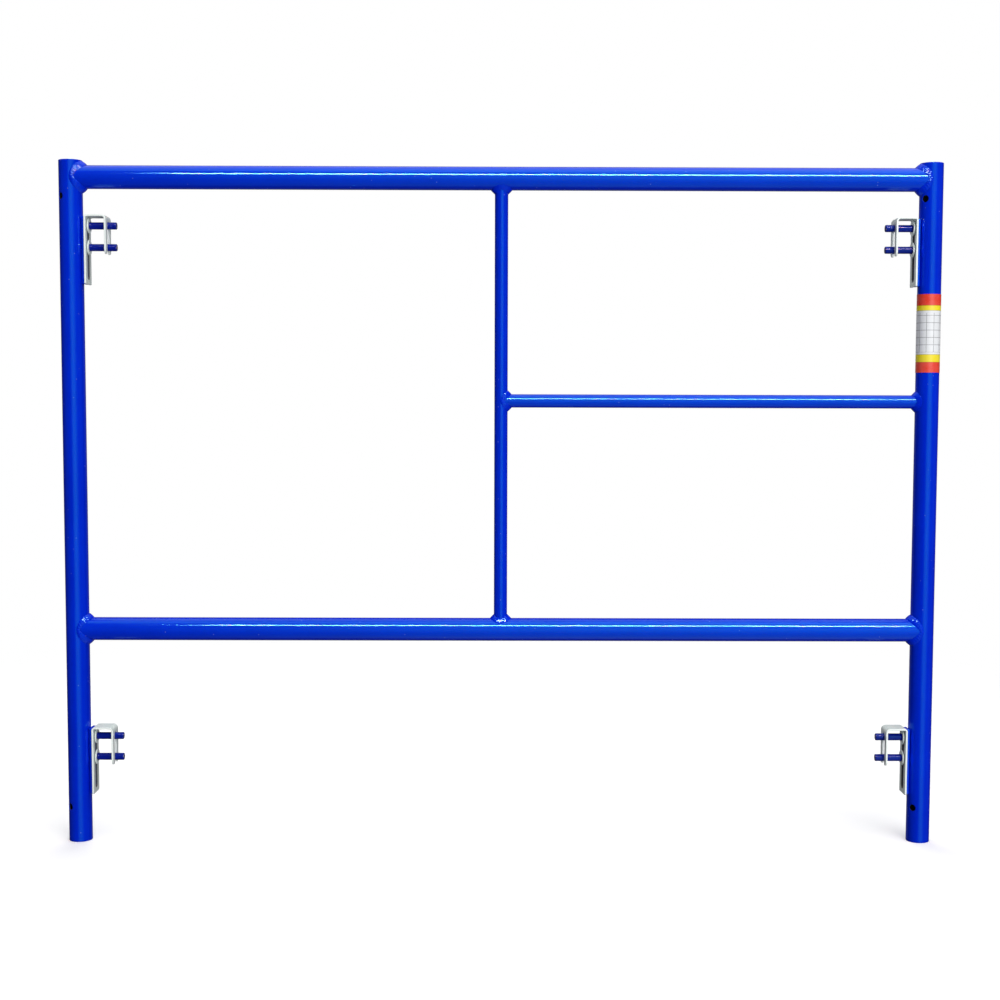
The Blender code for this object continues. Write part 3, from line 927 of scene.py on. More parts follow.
@dataclass
class Member:
    """A straight tube whose two ends are coped to the tubes that they meet.

    A point of its wall at turn t and radius r lies r cos t through the depth, and starts where the
    met tube's surface is: the square root of (met radius squared - (r cos t) squared) off its axis.
    """

    node: str
    axis: int
    met_radii: tuple[float, float]
    met_axes: tuple[float, float]
    wall: float = 2.4 * MM
    round_edge: float = 0.4 * MM
    columns: int = 144
    rows: int = 72

    def __post_init__(self) -> None:
        """Read the tube's axis and radius from the frame."""
        low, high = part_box(self.node)
        self.cross = 2 - self.axis
        self.radius = (high.y - low.y) / 2
        self.offset = (low[self.cross] + high[self.cross]) / 2

    def ends(self, radius: float, turn: Array, inset: float) -> tuple[Array, Array]:
        """Where the wall starts and ends along the member, at a radius and each turn.

        Args:
            radius: Distance of the wall from the axis.
            turn: Angles round the axis.
            inset: How far to stay clear of the met tubes.

        Returns:
            The first and last place along the member at each turn.
        """
        depth = radius * np.cos(turn)
        starts = []
        for met in self.met_radii:
            starts.append(np.sqrt(np.maximum((met + GAP) ** 2 - depth ** 2, 0.0)) + inset)
        return self.met_axes[0] + starts[0], self.met_axes[1] - starts[1]

    def build(self, finishes: Finishes) -> bpy.types.Object:
        """Make the member.

        Args:
            finishes: The model's materials.

        Returns:
            The finished piece.
        """
        turn = np.arange(self.columns) / self.columns * TAU
        ease = (1 - np.cos(np.linspace(0, math.pi, self.rows))) / 2
        share = 0.35 * ease + 0.65 * np.linspace(0, 1, self.rows)
        inner = self.radius - self.wall
        rings = []
        bare = []
        for radius, order in ((self.radius, share), (inner, share[::-1])):
            start, end = self.ends(radius, turn, self.round_edge)
            for s in order:
                rings.append((radius, start + (end - start) * s))
                bare.append(0.0 if radius == self.radius else 1.0)
            middle = (self.radius + inner) / 2
            start, end = self.ends(middle, turn, 0.0)
            rings.append((middle, end if radius == self.radius else start))
            bare.append(0.5)
        points = np.zeros((len(rings), self.columns, 3))
        for row, (radius, along) in enumerate(rings):
            points[row, :, self.axis] = along
            points[row, :, 1] = radius * np.cos(turn)
            points[row, :, self.cross] = self.offset + radius * np.sin(turn)
        surface = grid(points, wrap_rows=True, wrap_columns=True, bore=np.array(bare)[:, None])
        return make_piece("fine_" + self.node, surface, finishes.tube, Slot.ENAMEL, "frame", self.node)


# ----------------------------------------------------------------------------------------------
# Welds
# ----------------------------------------------------------------------------------------------


@dataclass
class SaddleWeld:
    """A rippled fillet bead all round the joint of a branch tube with a main tube.

    In its own axes the branch runs along +X and the main tube along Z. At turn t round the branch,
    the root is near where the two surfaces meet: y = b cos t, z = b sin t and x the square root of
    (m squared - y squared + root_ease squared), which keeps it smooth at the sides. With f the dot
    product of the two surfaces' normals and d = fillet - flush_reach, the toes lie fillet - d f^6
    away on the main tube and fillet - d f on the branch. The face bulges between them, and stacked
    crescents of weld metal ripple along it.
    """

    node: str
    main_radius: float
    branch_radius: float
    origin: tuple[float, float, float]
    branch_direction: tuple[float, float, float]
    main_direction: tuple[float, float, float]
    fillet: float
    seed: int
    flush_reach: float = 2.9 * MM
    bulge: float = 0.25 * MM
    chord_cover: float = 0.4 * MM
    root_ease: float = 6.5 * MM
    pitch: float = 4.4 * MM
    ripple: float = 0.38 * MM
    toe_wander: float = 0.4 * MM
    samples: int = 13
    face_steps: int = 14

    def root(self, turn: Array) -> Array:
        """Points where the two tubes' surfaces meet."""
        main, branch = self.main_radius + GAP, self.branch_radius + GAP
        depth = branch * np.cos(turn)
        along = np.sqrt(np.maximum(main ** 2 - depth ** 2, 0.0) + self.root_ease ** 2)
        return np.stack([along, depth, branch * np.sin(turn)], axis=-1)

    def on_main(self, points: Array) -> Array:
        """The points moved onto the main tube."""
        scale = (self.main_radius + GAP) / np.hypot(points[..., 0], points[..., 1])
        return points * np.stack([scale, scale, np.ones_like(scale)], axis=-1)

    def on_branch(self, points: Array) -> Array:
        """The points moved onto the branch tube."""
        scale = (self.branch_radius + GAP) / np.hypot(points[..., 1], points[..., 2])
        return points * np.stack([np.ones_like(scale), scale, scale], axis=-1)

    def surface(self) -> Surface:
        """Work out the bead in the frame's axes."""
        coarse = self.root(np.arange(400) / 400 * TAU)
        length = np.linalg.norm(np.roll(coarse, -1, axis=0) - coarse, axis=1).sum()
        ripples = round(length / self.pitch)
        count = ripples * self.samples
        turn = np.arange(count) / count * TAU
        root = self.root(turn)
        steps = np.linalg.norm(np.roll(root, -1, axis=0) - root, axis=1)
        travelled = np.concatenate([[0.0], np.cumsum(steps)[:-1]])
        total = steps.sum()
        along = unit(np.roll(root, -1, axis=0) - np.roll(root, 1, axis=0))
        branch_normal = np.stack([np.zeros_like(turn), np.cos(turn), np.sin(turn)], axis=-1)
        main_normal = unit(root * np.array([1.0, 1.0, 0.0]))
        over_main = np.cross(main_normal, along)
        away = np.sum(over_main * (branch_normal - np.array([1.0, 0.0, 0.0])), axis=-1, keepdims=True)
        over_main = over_main * np.where(away < 0, -1.0, 1.0)
        over_branch = np.cross(branch_normal, along)
        over_branch = over_branch * np.where(over_branch[:, :1] < 0, -1.0, 1.0)
        flush = np.clip(np.sum(main_normal * branch_normal, axis=-1), 0, 1)
        less = self.fillet - self.flush_reach
        reach_main = self.fillet - less * flush ** 6
        reach_main = reach_main + self.toe_wander * smooth_noise(travelled, total, 14, self.seed)
        reach_branch = self.fillet - less * flush
        reach_branch = reach_branch + self.toe_wander * smooth_noise(travelled, total, 14, self.seed + 50)
        main_toe = self.on_main(root + over_main * reach_main[:, None])
        branch_toe = self.on_branch(root + over_branch * reach_branch[:, None])
        outward = unit(main_normal + branch_normal)
        across = np.linspace(0, 1, self.face_steps + 1)[1:-1]
        crown = 4 * across * (1 - across)
        phase = TAU * ripples * travelled[:, None] / total + 2.4 * (2 * across - 1) ** 2
        wave = (0.5 + 0.5 * np.cos(phase)) ** 0.6
        rise = (self.bulge + self.chord_cover * flush[:, None] ** 2) * crown
        rise = rise + self.ripple * wave * np.sqrt(crown)
        chord = branch_toe[:, None] + (main_toe - branch_toe)[:, None] * across[:, None]
        face = chord + outward[:, None] * rise[..., None]
        under = [main_toe, self.on_main(root + over_main * reach_main[:, None] / 2), root,
                 self.on_branch(root + over_branch * reach_branch[:, None] / 2), branch_toe]
        points = np.concatenate([np.stack(under, axis=1), face], axis=1)
        x_axis = np.array(self.branch_direction)
        z_axis = np.array(self.main_direction)
        turned_points = points @ np.stack([x_axis, np.cross(z_axis, x_axis), z_axis])
        return grid(turned_points + np.array(self.origin), wrap_rows=True, wrap_columns=True)

    def build(self, finishes: Finishes) -> bpy.types.Object:
        """Make the bead.

        Args:
            finishes: The model's materials.

        Returns:
            The finished piece.
        """
        return make_piece("fine_" + self.node, self.surface(), finishes.weld, Slot.ENAMEL, "frame", self.node,
                          crease=60.0)


@dataclass
class Skeleton:
    """The welded frame: two legs, two rails, the strut, the rung and the beads that join them."""

    main_fillet: float = 7.3 * MM
    brace_fillet: float = 6.5 * MM
    brace_wall: float = 1.65 * MM
    brace_bead: dict[str, float] = field(default_factory=lambda: {
        "root_ease": 2.0 * MM, "bulge": 0.1 * MM, "ripple": 0.14 * MM})

    def __post_init__(self) -> None:
        """Set up the legs and read the members' heights from the frame."""
        self.legs = {side: Leg(side.label + "_leg") for side in Side}
        self.main_radius = self.legs[Side.LEFT].radius
        self.heights = {node: self._middle(node, 2) for node in ("top_rail", "lower_rail", "middle_rung")}
        self.strut_x = self._middle("centre_strut", 0)
        low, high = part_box("centre_strut")
        self.brace_radius = (high.y - low.y) / 2

    @staticmethod
    def _middle(node: str, axis: int) -> float:
        """Middle of a node's box along one axis."""
        low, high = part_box(node)
        return (low[axis] + high[axis]) / 2

    def members(self) -> list[Member]:
        """The four coped tubes."""
        left, right = self.legs[Side.LEFT].x, self.legs[Side.RIGHT].x
        both = (self.main_radius, self.main_radius)
        rails = [Member(node, 0, both, (left, right)) for node in ("top_rail", "lower_rail")]
        strut = Member("centre_strut", 2, both, (self.heights["lower_rail"], self.heights["top_rail"]),
                       wall=self.brace_wall, columns=112)
        rung = Member("middle_rung", 0, (self.brace_radius, self.main_radius), (self.strut_x, right),
                      wall=self.brace_wall, columns=112)
        return [*rails, strut, rung]

    def welds(self) -> list[SaddleWeld]:
        """The eight beads at the tube joints."""
        up, across = (0.0, 0.0, 1.0), (1.0, 0.0, 0.0)
        beads = []
        for rail in ("top_rail", "lower_rail"):
            for side, leg in self.legs.items():
                origin = (leg.x, 0.0, self.heights[rail])
                node, inwards = f"weld_{rail}_{side.label}", (side.value, 0.0, 0.0)
                beads.append(SaddleWeld(node, self.main_radius, self.main_radius, origin, inwards, up,
                                        self.main_fillet, len(beads)))
        strut_ends = (("weld_strut_top", "top_rail", -1.0), ("weld_strut_bottom", "lower_rail", 1.0))
        for node, rail, rise in strut_ends:
            origin, way = (self.strut_x, 0.0, self.heights[rail]), (0.0, 0.0, rise)
            beads.append(SaddleWeld(node, self.main_radius, self.brace_radius, origin, way, across,
                                    self.brace_fillet, len(beads), **self.brace_bead))
        rung = self.heights["middle_rung"]
        ends = (("weld_rung_strut", self.strut_x, self.brace_radius, 1.0),
                ("weld_rung_leg", self.legs[Side.RIGHT].x, self.main_radius, -1.0))
        for node, x, radius, way in ends:
            beads.append(SaddleWeld(node, radius, self.brace_radius, (x, 0.0, rung), (way, 0.0, 0.0), up,
                                    self.brace_fillet, len(beads), **self.brace_bead))
        return beads

    def build(self, finishes: Finishes) -> None:
        """Make every tube and bead.

        Args:
            finishes: The model's materials.
        """
        for piece in (*self.legs.values(), *self.members(), *self.welds()):
            piece.build(finishes)


# ----------------------------------------------------------------------------------------------
# Lock stations
# ----------------------------------------------------------------------------------------------


@dataclass
class BentStrip:
    """The path of a lock's strip, by distance along its middle from the foot of its back leg."""

    back: float
    depth: float
    top: float
    bottom: float
    tip: float
    thickness: float
    back_bend: float
    front_bend: float

    def __post_init__(self) -> None:
        """Work out the lengths of the straight and bent stretches."""
        half = self.thickness / 2
        self.radii = (self.back_bend - half, self.front_bend - half)
        lengths = (self.top - self.back_bend - self.bottom, self.radii[0] * math.pi / 2,
                   self.depth - self.back_bend - self.front_bend, self.radii[1] * math.pi / 2,
                   self.top - self.front_bend - self.tip)
        self.marks = np.cumsum((0.0, *lengths))
        self.length = float(self.marks[-1])

    def place(self, flat: Array) -> Array:
        """Bend flat points round the path: straight, quarter turn, straight, quarter turn, straight.

        Args:
            flat: Points of the flat strip, (across, along, above its middle), of shape (..., 3).

        Returns:
            The bent points in the station's axes.
        """
        across, along, above = flat[..., 0], flat[..., 1], flat[..., 2]
        _, rise, over, fall, down, _ = self.marks
        half = self.thickness / 2
        turn = np.clip((along - rise) / self.radii[0], 0, math.pi / 2)
        turn = turn + np.clip((along - fall) / self.radii[1], 0, math.pi / 2)
        x = self.back + half + self.radii[0] * (1 - np.cos(np.minimum(turn, math.pi / 2)))
        z = self.bottom + np.minimum(along, rise) + self.radii[0] * np.sin(np.minimum(turn, math.pi / 2))
        x = x + np.clip(along - over, 0, fall - over)
        later = np.maximum(turn - math.pi / 2, 0)
        x = x + self.radii[1] * np.sin(later)
        z = z - self.radii[1] * (1 - np.cos(later)) - np.maximum(along - down, 0)
        return np.stack([x - above * np.cos(turn), across, z + above * np.sin(turn)], axis=-1)


@dataclass
class DropLock:
    """A lock pressed from strip: slotted back leg, bridge and forked front leg.

    The flat strip is worked out first, each half as rows from an inner edge (the middle line, the
    slot or the fork) to the outer edge. Its rim is a rounded profile carried along those edges.
    """

    stud_spacing: float
    stud_radius: float
    travel: float
    half_width: float
    strip: BentStrip
    corner: float = 3.0 * MM
    fork_radius: float = 7.15 * MM
    fork_crown: float = 0.5 * MM
    prong_outer: float = 8.2 * MM
    prong_inner: float = 3.0 * MM
    edge_round: float = 0.55 * MM
    columns: int = 8

    def edges(self, inset: float) -> tuple[Array, Array, Array]:
        """Matching points of one half's inner and outer edges, along the strip.

        Args:
            inset: How far inside the true edge to stay.

        Returns:
            The inner edge and the outer edge, each (n, 2) as across and along, and the kind of the
            inner edge at each point: 0 middle line, 1 slot, 2 fork.
        """
        half, strip = self.half_width, self.strip
        slot = self.stud_radius + GAP
        crown = -strip.bottom
        foot = crown - self.stud_spacing - self.travel
        fork = strip.length - (self.fork_crown - strip.tip)
        inner, outer, kinds = [], [], []

        def add(inner_points: Array, outer_points: Array, kind: int) -> None:
            """Note a stretch of both edges."""
            inner.append(inner_points)
            outer.append(outer_points)
            kinds.append(np.full(len(inner_points), kind))

        def level(points: Array, across: float) -> Array:
            """The same distances along, at one distance across."""
            return np.stack([np.full(len(points), across), points[:, 1]], axis=1)

        corner = arc((half - self.corner, self.corner), self.corner - inset, -90, 0, 6)
        add(level(corner, 0.0), corner, 0)
        add(*self._straight(self.corner, foot - slot - inset, 4, inset), 0)
        lower = arc((0.0, foot), slot + inset, -90, 0, 14)
        add(lower, level(lower, half - inset), 1)
        add(*self._straight(foot, crown, 26, inset, slot + inset), 1)
        upper = arc((0.0, crown), slot + inset, 0, 90, 14)
        add(upper, level(upper, half - inset), 1)
        for start, end, steps in self._solid_stretches(crown + slot + inset, fork - self.fork_radius - inset):
            add(*self._straight(start, end, steps, inset), 0)
        head = arc((0.0, fork), self.fork_radius + inset, -90, 0, 14)
        add(head, level(head, half - inset), 2)
        tip = strip.length
        start = tip - self.prong_outer
        add(*self._straight(fork, start, 16, inset, self.fork_radius + inset), 2)
        outside = arc((half - self.prong_outer, start), self.prong_outer - inset, 0, 90, 12)
        inside = arc((self.fork_radius + self.prong_inner, tip - self.prong_inner), self.prong_inner - inset,
                     180, 90, 12)
        add(inside, outside, 2)
        return np.concatenate(inner), np.concatenate(outer), np.concatenate(kinds)

    def _straight(self, start: float, end: float, steps: int, inset: float,
                  across: float = 0.0) -> tuple[Array, Array]:
        """A straight stretch of both edges, its inner edge at one distance across.

        Args:
            start: Where it starts along the strip.
            end: Where it ends.
            steps: Number of steps.
            inset: How far inside the outer edge to stay.
            across: Where the inner edge lies.

        Returns:
            Points of the inner and of the outer edge.
        """
        along = np.linspace(start, end, steps + 1)
        inner = np.stack([np.full_like(along, across), along], axis=1)
        outer = np.stack([np.full_like(along, self.half_width - inset), along], axis=1)
        return inner, outer

    def _solid_stretches(self, start: float, end: float) -> list[tuple[float, float, int]]:
        """The undivided part of the strip, cut finely where it bends."""
        _, rise, over, fall, down, _ = self.strip.marks
        return [(start, rise, 2), (rise, over, 12), (over, fall, 6), (fall, down, 14), (down, end, 2)]

    def surface(self) -> Surface:
        """Work out the bent strip: both faces, and the rounded rims of its outline and slot."""
        inner, outer, kinds = self.edges(self.edge_round)
        true_inner, true_outer, _ = self.edges(0.0)
        share = np.linspace(0, 1, self.columns + 1)[:, None]
        half = inner[:, None] + (outer - inner)[:, None] * share
        parts = []
        for mirror in (1.0, -1.0):
            for above in (0.5, -0.5):
                layer = np.full(half.shape[:2], above * self.strip.thickness)
                flat = np.dstack([half[..., 0] * mirror, half[..., 1], layer])
                parts.append(grid(self.strip.place(flat)))
        parts.append(self._rim(*self._outline(inner, outer, true_inner, true_outer, kinds, share[1:-1])))
        slot = kinds == 1
        hole = self._rim(self._both_sides(inner[slot]), self._both_sides(true_inner[slot]))
        # The slot's rims take the shade mark in place of wear: painted shade, darkened in the zinc finish.
        hole.marks["shade"] = hole.marks.pop("wear")
        parts.append(hole)
        return joined(parts)

    @staticmethod
    def _both_sides(points: Array) -> Array:
        """An edge followed up one half and back down its mirror image."""
        return np.concatenate([points, points[::-1] * np.array([-1.0, 1.0])])

    def _outline(self, inner: Array, outer: Array, true_inner: Array, true_outer: Array, kinds: Array,
                 share: Array) -> tuple[Array, Array]:
        """The strip's whole outline, inset and true: sides, prong tips, fork and foot.

        Args:
            inner: Inner edge of one half, inset.
            outer: Outer edge of one half, inset.
            true_inner: Inner edge in its true place.
            true_outer: Outer edge in its true place.
            kinds: Kind of inner edge at each point.
            share: Shares from the inner to the outer edge.

        Returns:
            The inset loop and the true loop, point for point.
        """
        fork = kinds == 2
        loops = []
        for inside, outside, lift in ((inner, outer, 0.0), (true_inner, true_outer, self.edge_round)):
            end_out, end_in = outer[-1], inner[-1]
            tip = end_out + (end_in - end_out) * share + np.array([0.0, lift])
            side = np.concatenate([outside, tip, inside[fork][::-1]])
            other = side[::-1] * np.array([-1.0, 1.0])
            foot = outer[0] * np.concatenate([share - 1, [[0.0]], share])
            foot = np.stack([foot[:, 0], np.full(len(foot), outer[0, 1] - lift)], axis=1)
            loops.append(np.concatenate([side, other, foot]))
        return loops[0], loops[1]

    def _rim(self, inset: Array, true: Array) -> Surface:
        """A rounded rim along an edge: quarter round, wall, quarter round.

        Args:
            inset: The edge, drawn in by the rounding.
            true: The edge in its true place.

        Returns:
            The bent rim.
        """
        half = self.strip.thickness / 2
        turn = np.radians(np.linspace(0, 90, 5))
        out = np.concatenate([np.sin(turn), np.sin(turn)[::-1]])
        above = half - self.edge_round * (1 - np.cos(turn))
        above = np.concatenate([above, -above[::-1]])
        flat = inset[None] + (true - inset)[None] * out[:, None, None]
        layer = np.broadcast_to(above[:, None, None], (*flat.shape[:2], 1))
        points = self.strip.place(np.concatenate([flat, layer], axis=-1))
        wear = np.broadcast_to((out > 0.3).astype(float)[:, None], points.shape[:2])
        return grid(points, wrap_columns=True, wear=wear)


@dataclass
class Station:
    """One drop lock with its bar, studs, washers and welds.

    Its own axes start on the leg's surface at the height of the upper stud, with +X towards the
    middle of the frame.
    """

    level: Level
    side: Side
    leg_x: float
    leg_radius: float
    lock_thickness: float = 3.2 * MM
    lock_back_bend: float = 5.5 * MM
    lock_front_bend: float = 8.0 * MM
    lock_travel: float = 50.0 * MM
    fork_overhang: float = 11.9 * MM
    bar_round: float = 0.8 * MM
    washer_round: float = 0.5 * MM
    washer_dish: float = 0.12 * MM
    stud_chamfer: float = 1.0 * MM
    stake_rise: float = 0.55 * MM
    stake_half: float = 0.9 * MM
    stake_gap: float = 1.1 * MM
    weld_lump: float = 0.15 * MM
    weld_reach: float = 2.3 * MM
    weld_rise: float = 2.6 * MM
    weld_ripple: float = 0.2 * MM
    weld_pitch: float = 4.0 * MM
    lump_reach: float = 9.0 * MM

    def __post_init__(self) -> None:
        """Find the station's origin and its pieces' sizes from the frame."""
        self.prefix = f"{self.level.value}_{self.side.label}"
        self.surface_x = self.leg_x + self.side.value * self.leg_radius
        upper, lower = self._box("stud_top"), self._box("stud_bottom")
        self.height = (upper[0][2] + upper[1][2]) / 2
        self.stud_radius = (upper[1][2] - upper[0][2]) / 2
        self.stud_spacing = self.height - (lower[0][2] + lower[1][2]) / 2
        self.stud_root, self.stud_end = upper[0][0], upper[1][0]

    def _box(self, piece: str) -> tuple[Array, Array]:
        """A piece's lowest and highest corners in the station's own axes, X and Y only turned.

        Args:
            piece: Name of the piece, without the station's prefix.

        Returns:
            The lowest and the highest corner.
        """
        low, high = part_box(f"{self.prefix}_{piece}")
        across = sorted((x - self.surface_x) * self.side.value for x in (low.x, high.x))
        return np.array([across[0], low.y, low.z]), np.array([across[1], high.y, high.z])

    def _place(self, surface: Surface) -> Surface:
        """Move a surface from the station's axes to the frame's."""
        way = self.side.value
        surface.points = surface.points * np.array([way, way, 1.0])
        surface.points = surface.points + np.array([self.surface_x, 0.0, self.height])
        return surface

    def _make(self, piece: str, surface: Surface, material: bpy.types.Material, slot: Slot,
              body: str = "frame", crease: float = 38.0) -> None:
        """Place a surface and make it a piece.

        Args:
            piece: Name of the piece, without the station's prefix.
            surface: Its surface in the station's axes.
            material: Its finish.
            slot: The record's slot; it decides only whether the piece joins the painted pieces.
            body: The body that it rides on.
            crease: Angle in degrees above which an edge is crisp.
        """
        node = f"{self.prefix}_{piece}"
        make_piece("fine_" + node, self._place(surface), material, slot, body, node, crease)

    def bar(self) -> Surface:
        """The backing bar: a rounded rectangle drawn in at its rounded ends."""
        low, high = self._box("backing_bar")
        low, high = low - np.array([0, 0, self.height]), high - np.array([0, 0, self.height])
        r = self.bar_round
        loop = []
        for x, y, start in ((high[0] - r, high[1] - r, 0), (low[0] + r, high[1] - r, 90),
                            (low[0] + r, low[1] + r, 180), (high[0] - r, low[1] + r, 270)):
            loop.append(arc((x, y), r, start, start + 90, 6))
        outline = np.concatenate(loop)
        middle = outline.mean(axis=0)
        turn = np.radians(np.linspace(0, 90, 6))
        shrink = np.concatenate([r * (1 - np.sin(turn)), r * (1 - np.sin(turn[::-1]))])
        height = np.concatenate([low[2] + r * (1 - np.cos(turn)), high[2] - r * (1 - np.cos(turn[::-1]))])
        size = (high - low)[:2] / 2
        scale = 1 - shrink[:, None] / size
        rings = middle + (outline - middle)[None] * scale[:, None]
        level = np.broadcast_to(height[:, None, None], (*rings.shape[:2], 1))
        points = np.concatenate([rings, level], axis=-1)
        wear = np.broadcast_to((shrink > 0).astype(float)[:, None] * 0.7 + 0.1, points.shape[:2])
        return capped(points, wear=wear)

    def bar_weld(self, front: bool) -> Surface:
        """A bead down the bar's side, thick at each stud: toe on the leg, crest on the bar.

        Args:
            front: Whether it lies on the viewer's side of the bar.

        Returns:
            The closed bead.
        """
        low, high = self._box("bar_weld_front" if front else "bar_weld_back")
        bottom, top = low[2] - self.height, high[2] - self.height
        steps = 220
        z = np.linspace(bottom, top, steps)
        side = min(abs(low[1]), abs(high[1]))
        radius = self.leg_radius + GAP
        studs = np.array([[0.0], [-self.stud_spacing]])
        lumps = np.exp(-((z - studs) / self.lump_reach) ** 2).sum(axis=0)
        ends = np.clip(np.minimum(z - bottom, top - z) / (4 * MM), 0, 1) ** 0.5
        swell = (0.45 + 0.55 * lumps) * (0.25 + 0.75 * ends)
        reach = side + self.weld_reach * swell
        crest = math.sqrt(radius ** 2 - side ** 2) - self.leg_radius + self.weld_rise * swell
        toe = np.stack([np.sqrt(radius ** 2 - reach ** 2) - self.leg_radius, reach], axis=1)
        top_edge = np.stack([crest, np.full(steps, side)], axis=1)
        root_y = np.linspace(0, 1, 4)[:-1]
        under_y = side + (reach - side)[:, None] * root_y
        under = np.stack([np.sqrt(radius ** 2 - under_y ** 2) - self.leg_radius, under_y], axis=-1)
        across = np.linspace(0, 1, 12)
        crown = 4 * across * (1 - across)
        slope = top_edge - toe
        outward = unit(np.stack([-slope[:, 1], slope[:, 0]], axis=1))
        phase = TAU * z[:, None] / self.weld_pitch + 2.0 * (2 * across - 1) ** 2
        rise = (self.weld_lump * swell[:, None] * crown
                + self.weld_ripple * swell[:, None] * np.sqrt(crown) * (0.5 + 0.5 * np.cos(phase)) ** 0.6)
        face = toe[:, None] + slope[:, None] * across[:, None] + outward[:, None] * rise[..., None]
        plan = np.concatenate([under, face], axis=1)
        if front:
            plan = plan * np.array([1.0, -1.0])
        points = np.concatenate([plan, np.broadcast_to(z[:, None, None], (*plan.shape[:2], 1))], axis=-1)
        return capped(points)

    def stud(self, drop: float) -> Surface:
        """A round stud along X with a softened end, and a burr staked up outside its washer.

        Args:
            drop: How far below the upper stud it lies.

        Returns:
            The closed stud.
        """
        r, c = self.stud_radius, self.stud_chamfer
        washer = self._box("washer_top")[1][0]
        burr = washer + self.stake_gap
        along = np.linspace(burr - self.stake_half, burr + self.stake_half, 9)
        bump = self.stake_rise * np.cos((along - burr) / self.stake_half * math.pi / 2) ** 2
        shoulder = arc((r - 1.6 * c, self.stud_end - 1.6 * c), 1.6 * c, 0, 62, 6)
        root, soft = self.stud_root, 0.3 * MM
        runs = [np.array([[0.0, root], [r - soft, root], [r, root + soft]]),
                np.stack([r + bump, along], axis=1),
                np.stack([np.full(8, r), np.linspace(burr + 2 * MM, self.stud_end - 3 * c, 8)], axis=1),
                shoulder, np.array([[r - 2.1 * c, self.stud_end], [0.0, self.stud_end]])]
        profile = np.concatenate(runs)
        wear = np.clip((profile[:, 1] - self.stud_end + 5 * MM) / (5 * MM), 0, 1)
        wear = np.maximum(wear, 0.7 * (profile[:, 0] > r + 0.2 * MM))
        surface = turned(profile, 64, wear=wear)
        surface.points = surface.points[:, [2, 0, 1]] - np.array([0.0, 0.0, drop])
        return surface

    def washer(self, drop: float, seed: int) -> Surface:
        """A flat washer along X with rounded edges, slightly dished.

        Args:
            drop: How far below the upper stud it lies.
            seed: Seed of its dishing.

        Returns:
            The closed washer.
        """
        low, high = self._box("washer_top")
        outer, inner, r = (high[2] - low[2]) / 2, self.stud_radius + GAP, self.washer_round
        middle, half = (low[0] + high[0]) / 2, (high[0] - low[0]) / 2
        corners = []
        for x, z, start in ((outer - r, middle + half - r, 90), (inner + r, middle + half - r, 180),
                            (inner + r, middle - half + r, 270), (outer - r, middle - half + r, 0)):
            corners.append(arc((x, z), r, start, start + 90, 5))
        profile = np.concatenate([corners[0][::-1], corners[3][::-1], corners[2][::-1], corners[1][::-1]])
        wear = np.full(len(profile), 0.5)
        surface = turned(profile, 72, wear=wear)
        tilt = smooth_noise(np.arctan2(surface.points[:, 1], surface.points[:, 0]), TAU, 2, seed)
        reach = np.hypot(surface.points[:, 0], surface.points[:, 1]) / outer
        surface.points[:, 2] += self.washer_dish * tilt * reach
        surface.points = surface.points[:, [2, 0, 1]] - np.array([0.0, 0.0, drop])
        return surface

    def lock(self) -> Surface:
        """The drop lock in its lowest position."""
        low, high = self._box("drop_lock")
        tip = -self.stud_spacing - self.fork_overhang
        strip = BentStrip(low[0], high[0] - low[0], high[2] - self.height, low[2] - self.height, tip,
                          self.lock_thickness, self.lock_back_bend, self.lock_front_bend)
        half_width = (high[1] - low[1]) / 2
        return DropLock(self.stud_spacing, self.stud_radius, self.lock_travel, half_width, strip).surface()

    def build(self, finishes: Finishes) -> None:
        """Make every piece of the station.

        Args:
            finishes: The model's materials.
        """
        seed = 10 * list(Level).index(self.level) + (self.side is Side.RIGHT)
        self._make("backing_bar", self.bar(), finishes.bar, Slot.ENAMEL)
        self._make("bar_weld_front", self.bar_weld(True), finishes.weld, Slot.ENAMEL, crease=60.0)
        self._make("bar_weld_back", self.bar_weld(False), finishes.weld, Slot.ENAMEL, crease=60.0)
        for place, drop in (("top", 0.0), ("bottom", self.stud_spacing)):
            self._make("stud_" + place, self.stud(drop), finishes.stud, Slot.ENAMEL)
            self._make("washer_" + place, self.washer(drop, seed), finishes.washer, Slot.ZINC)
            seed += 4
        self._make("drop_lock", self.lock(), finishes.strip, Slot.ZINC, f"{self.prefix}_lock")


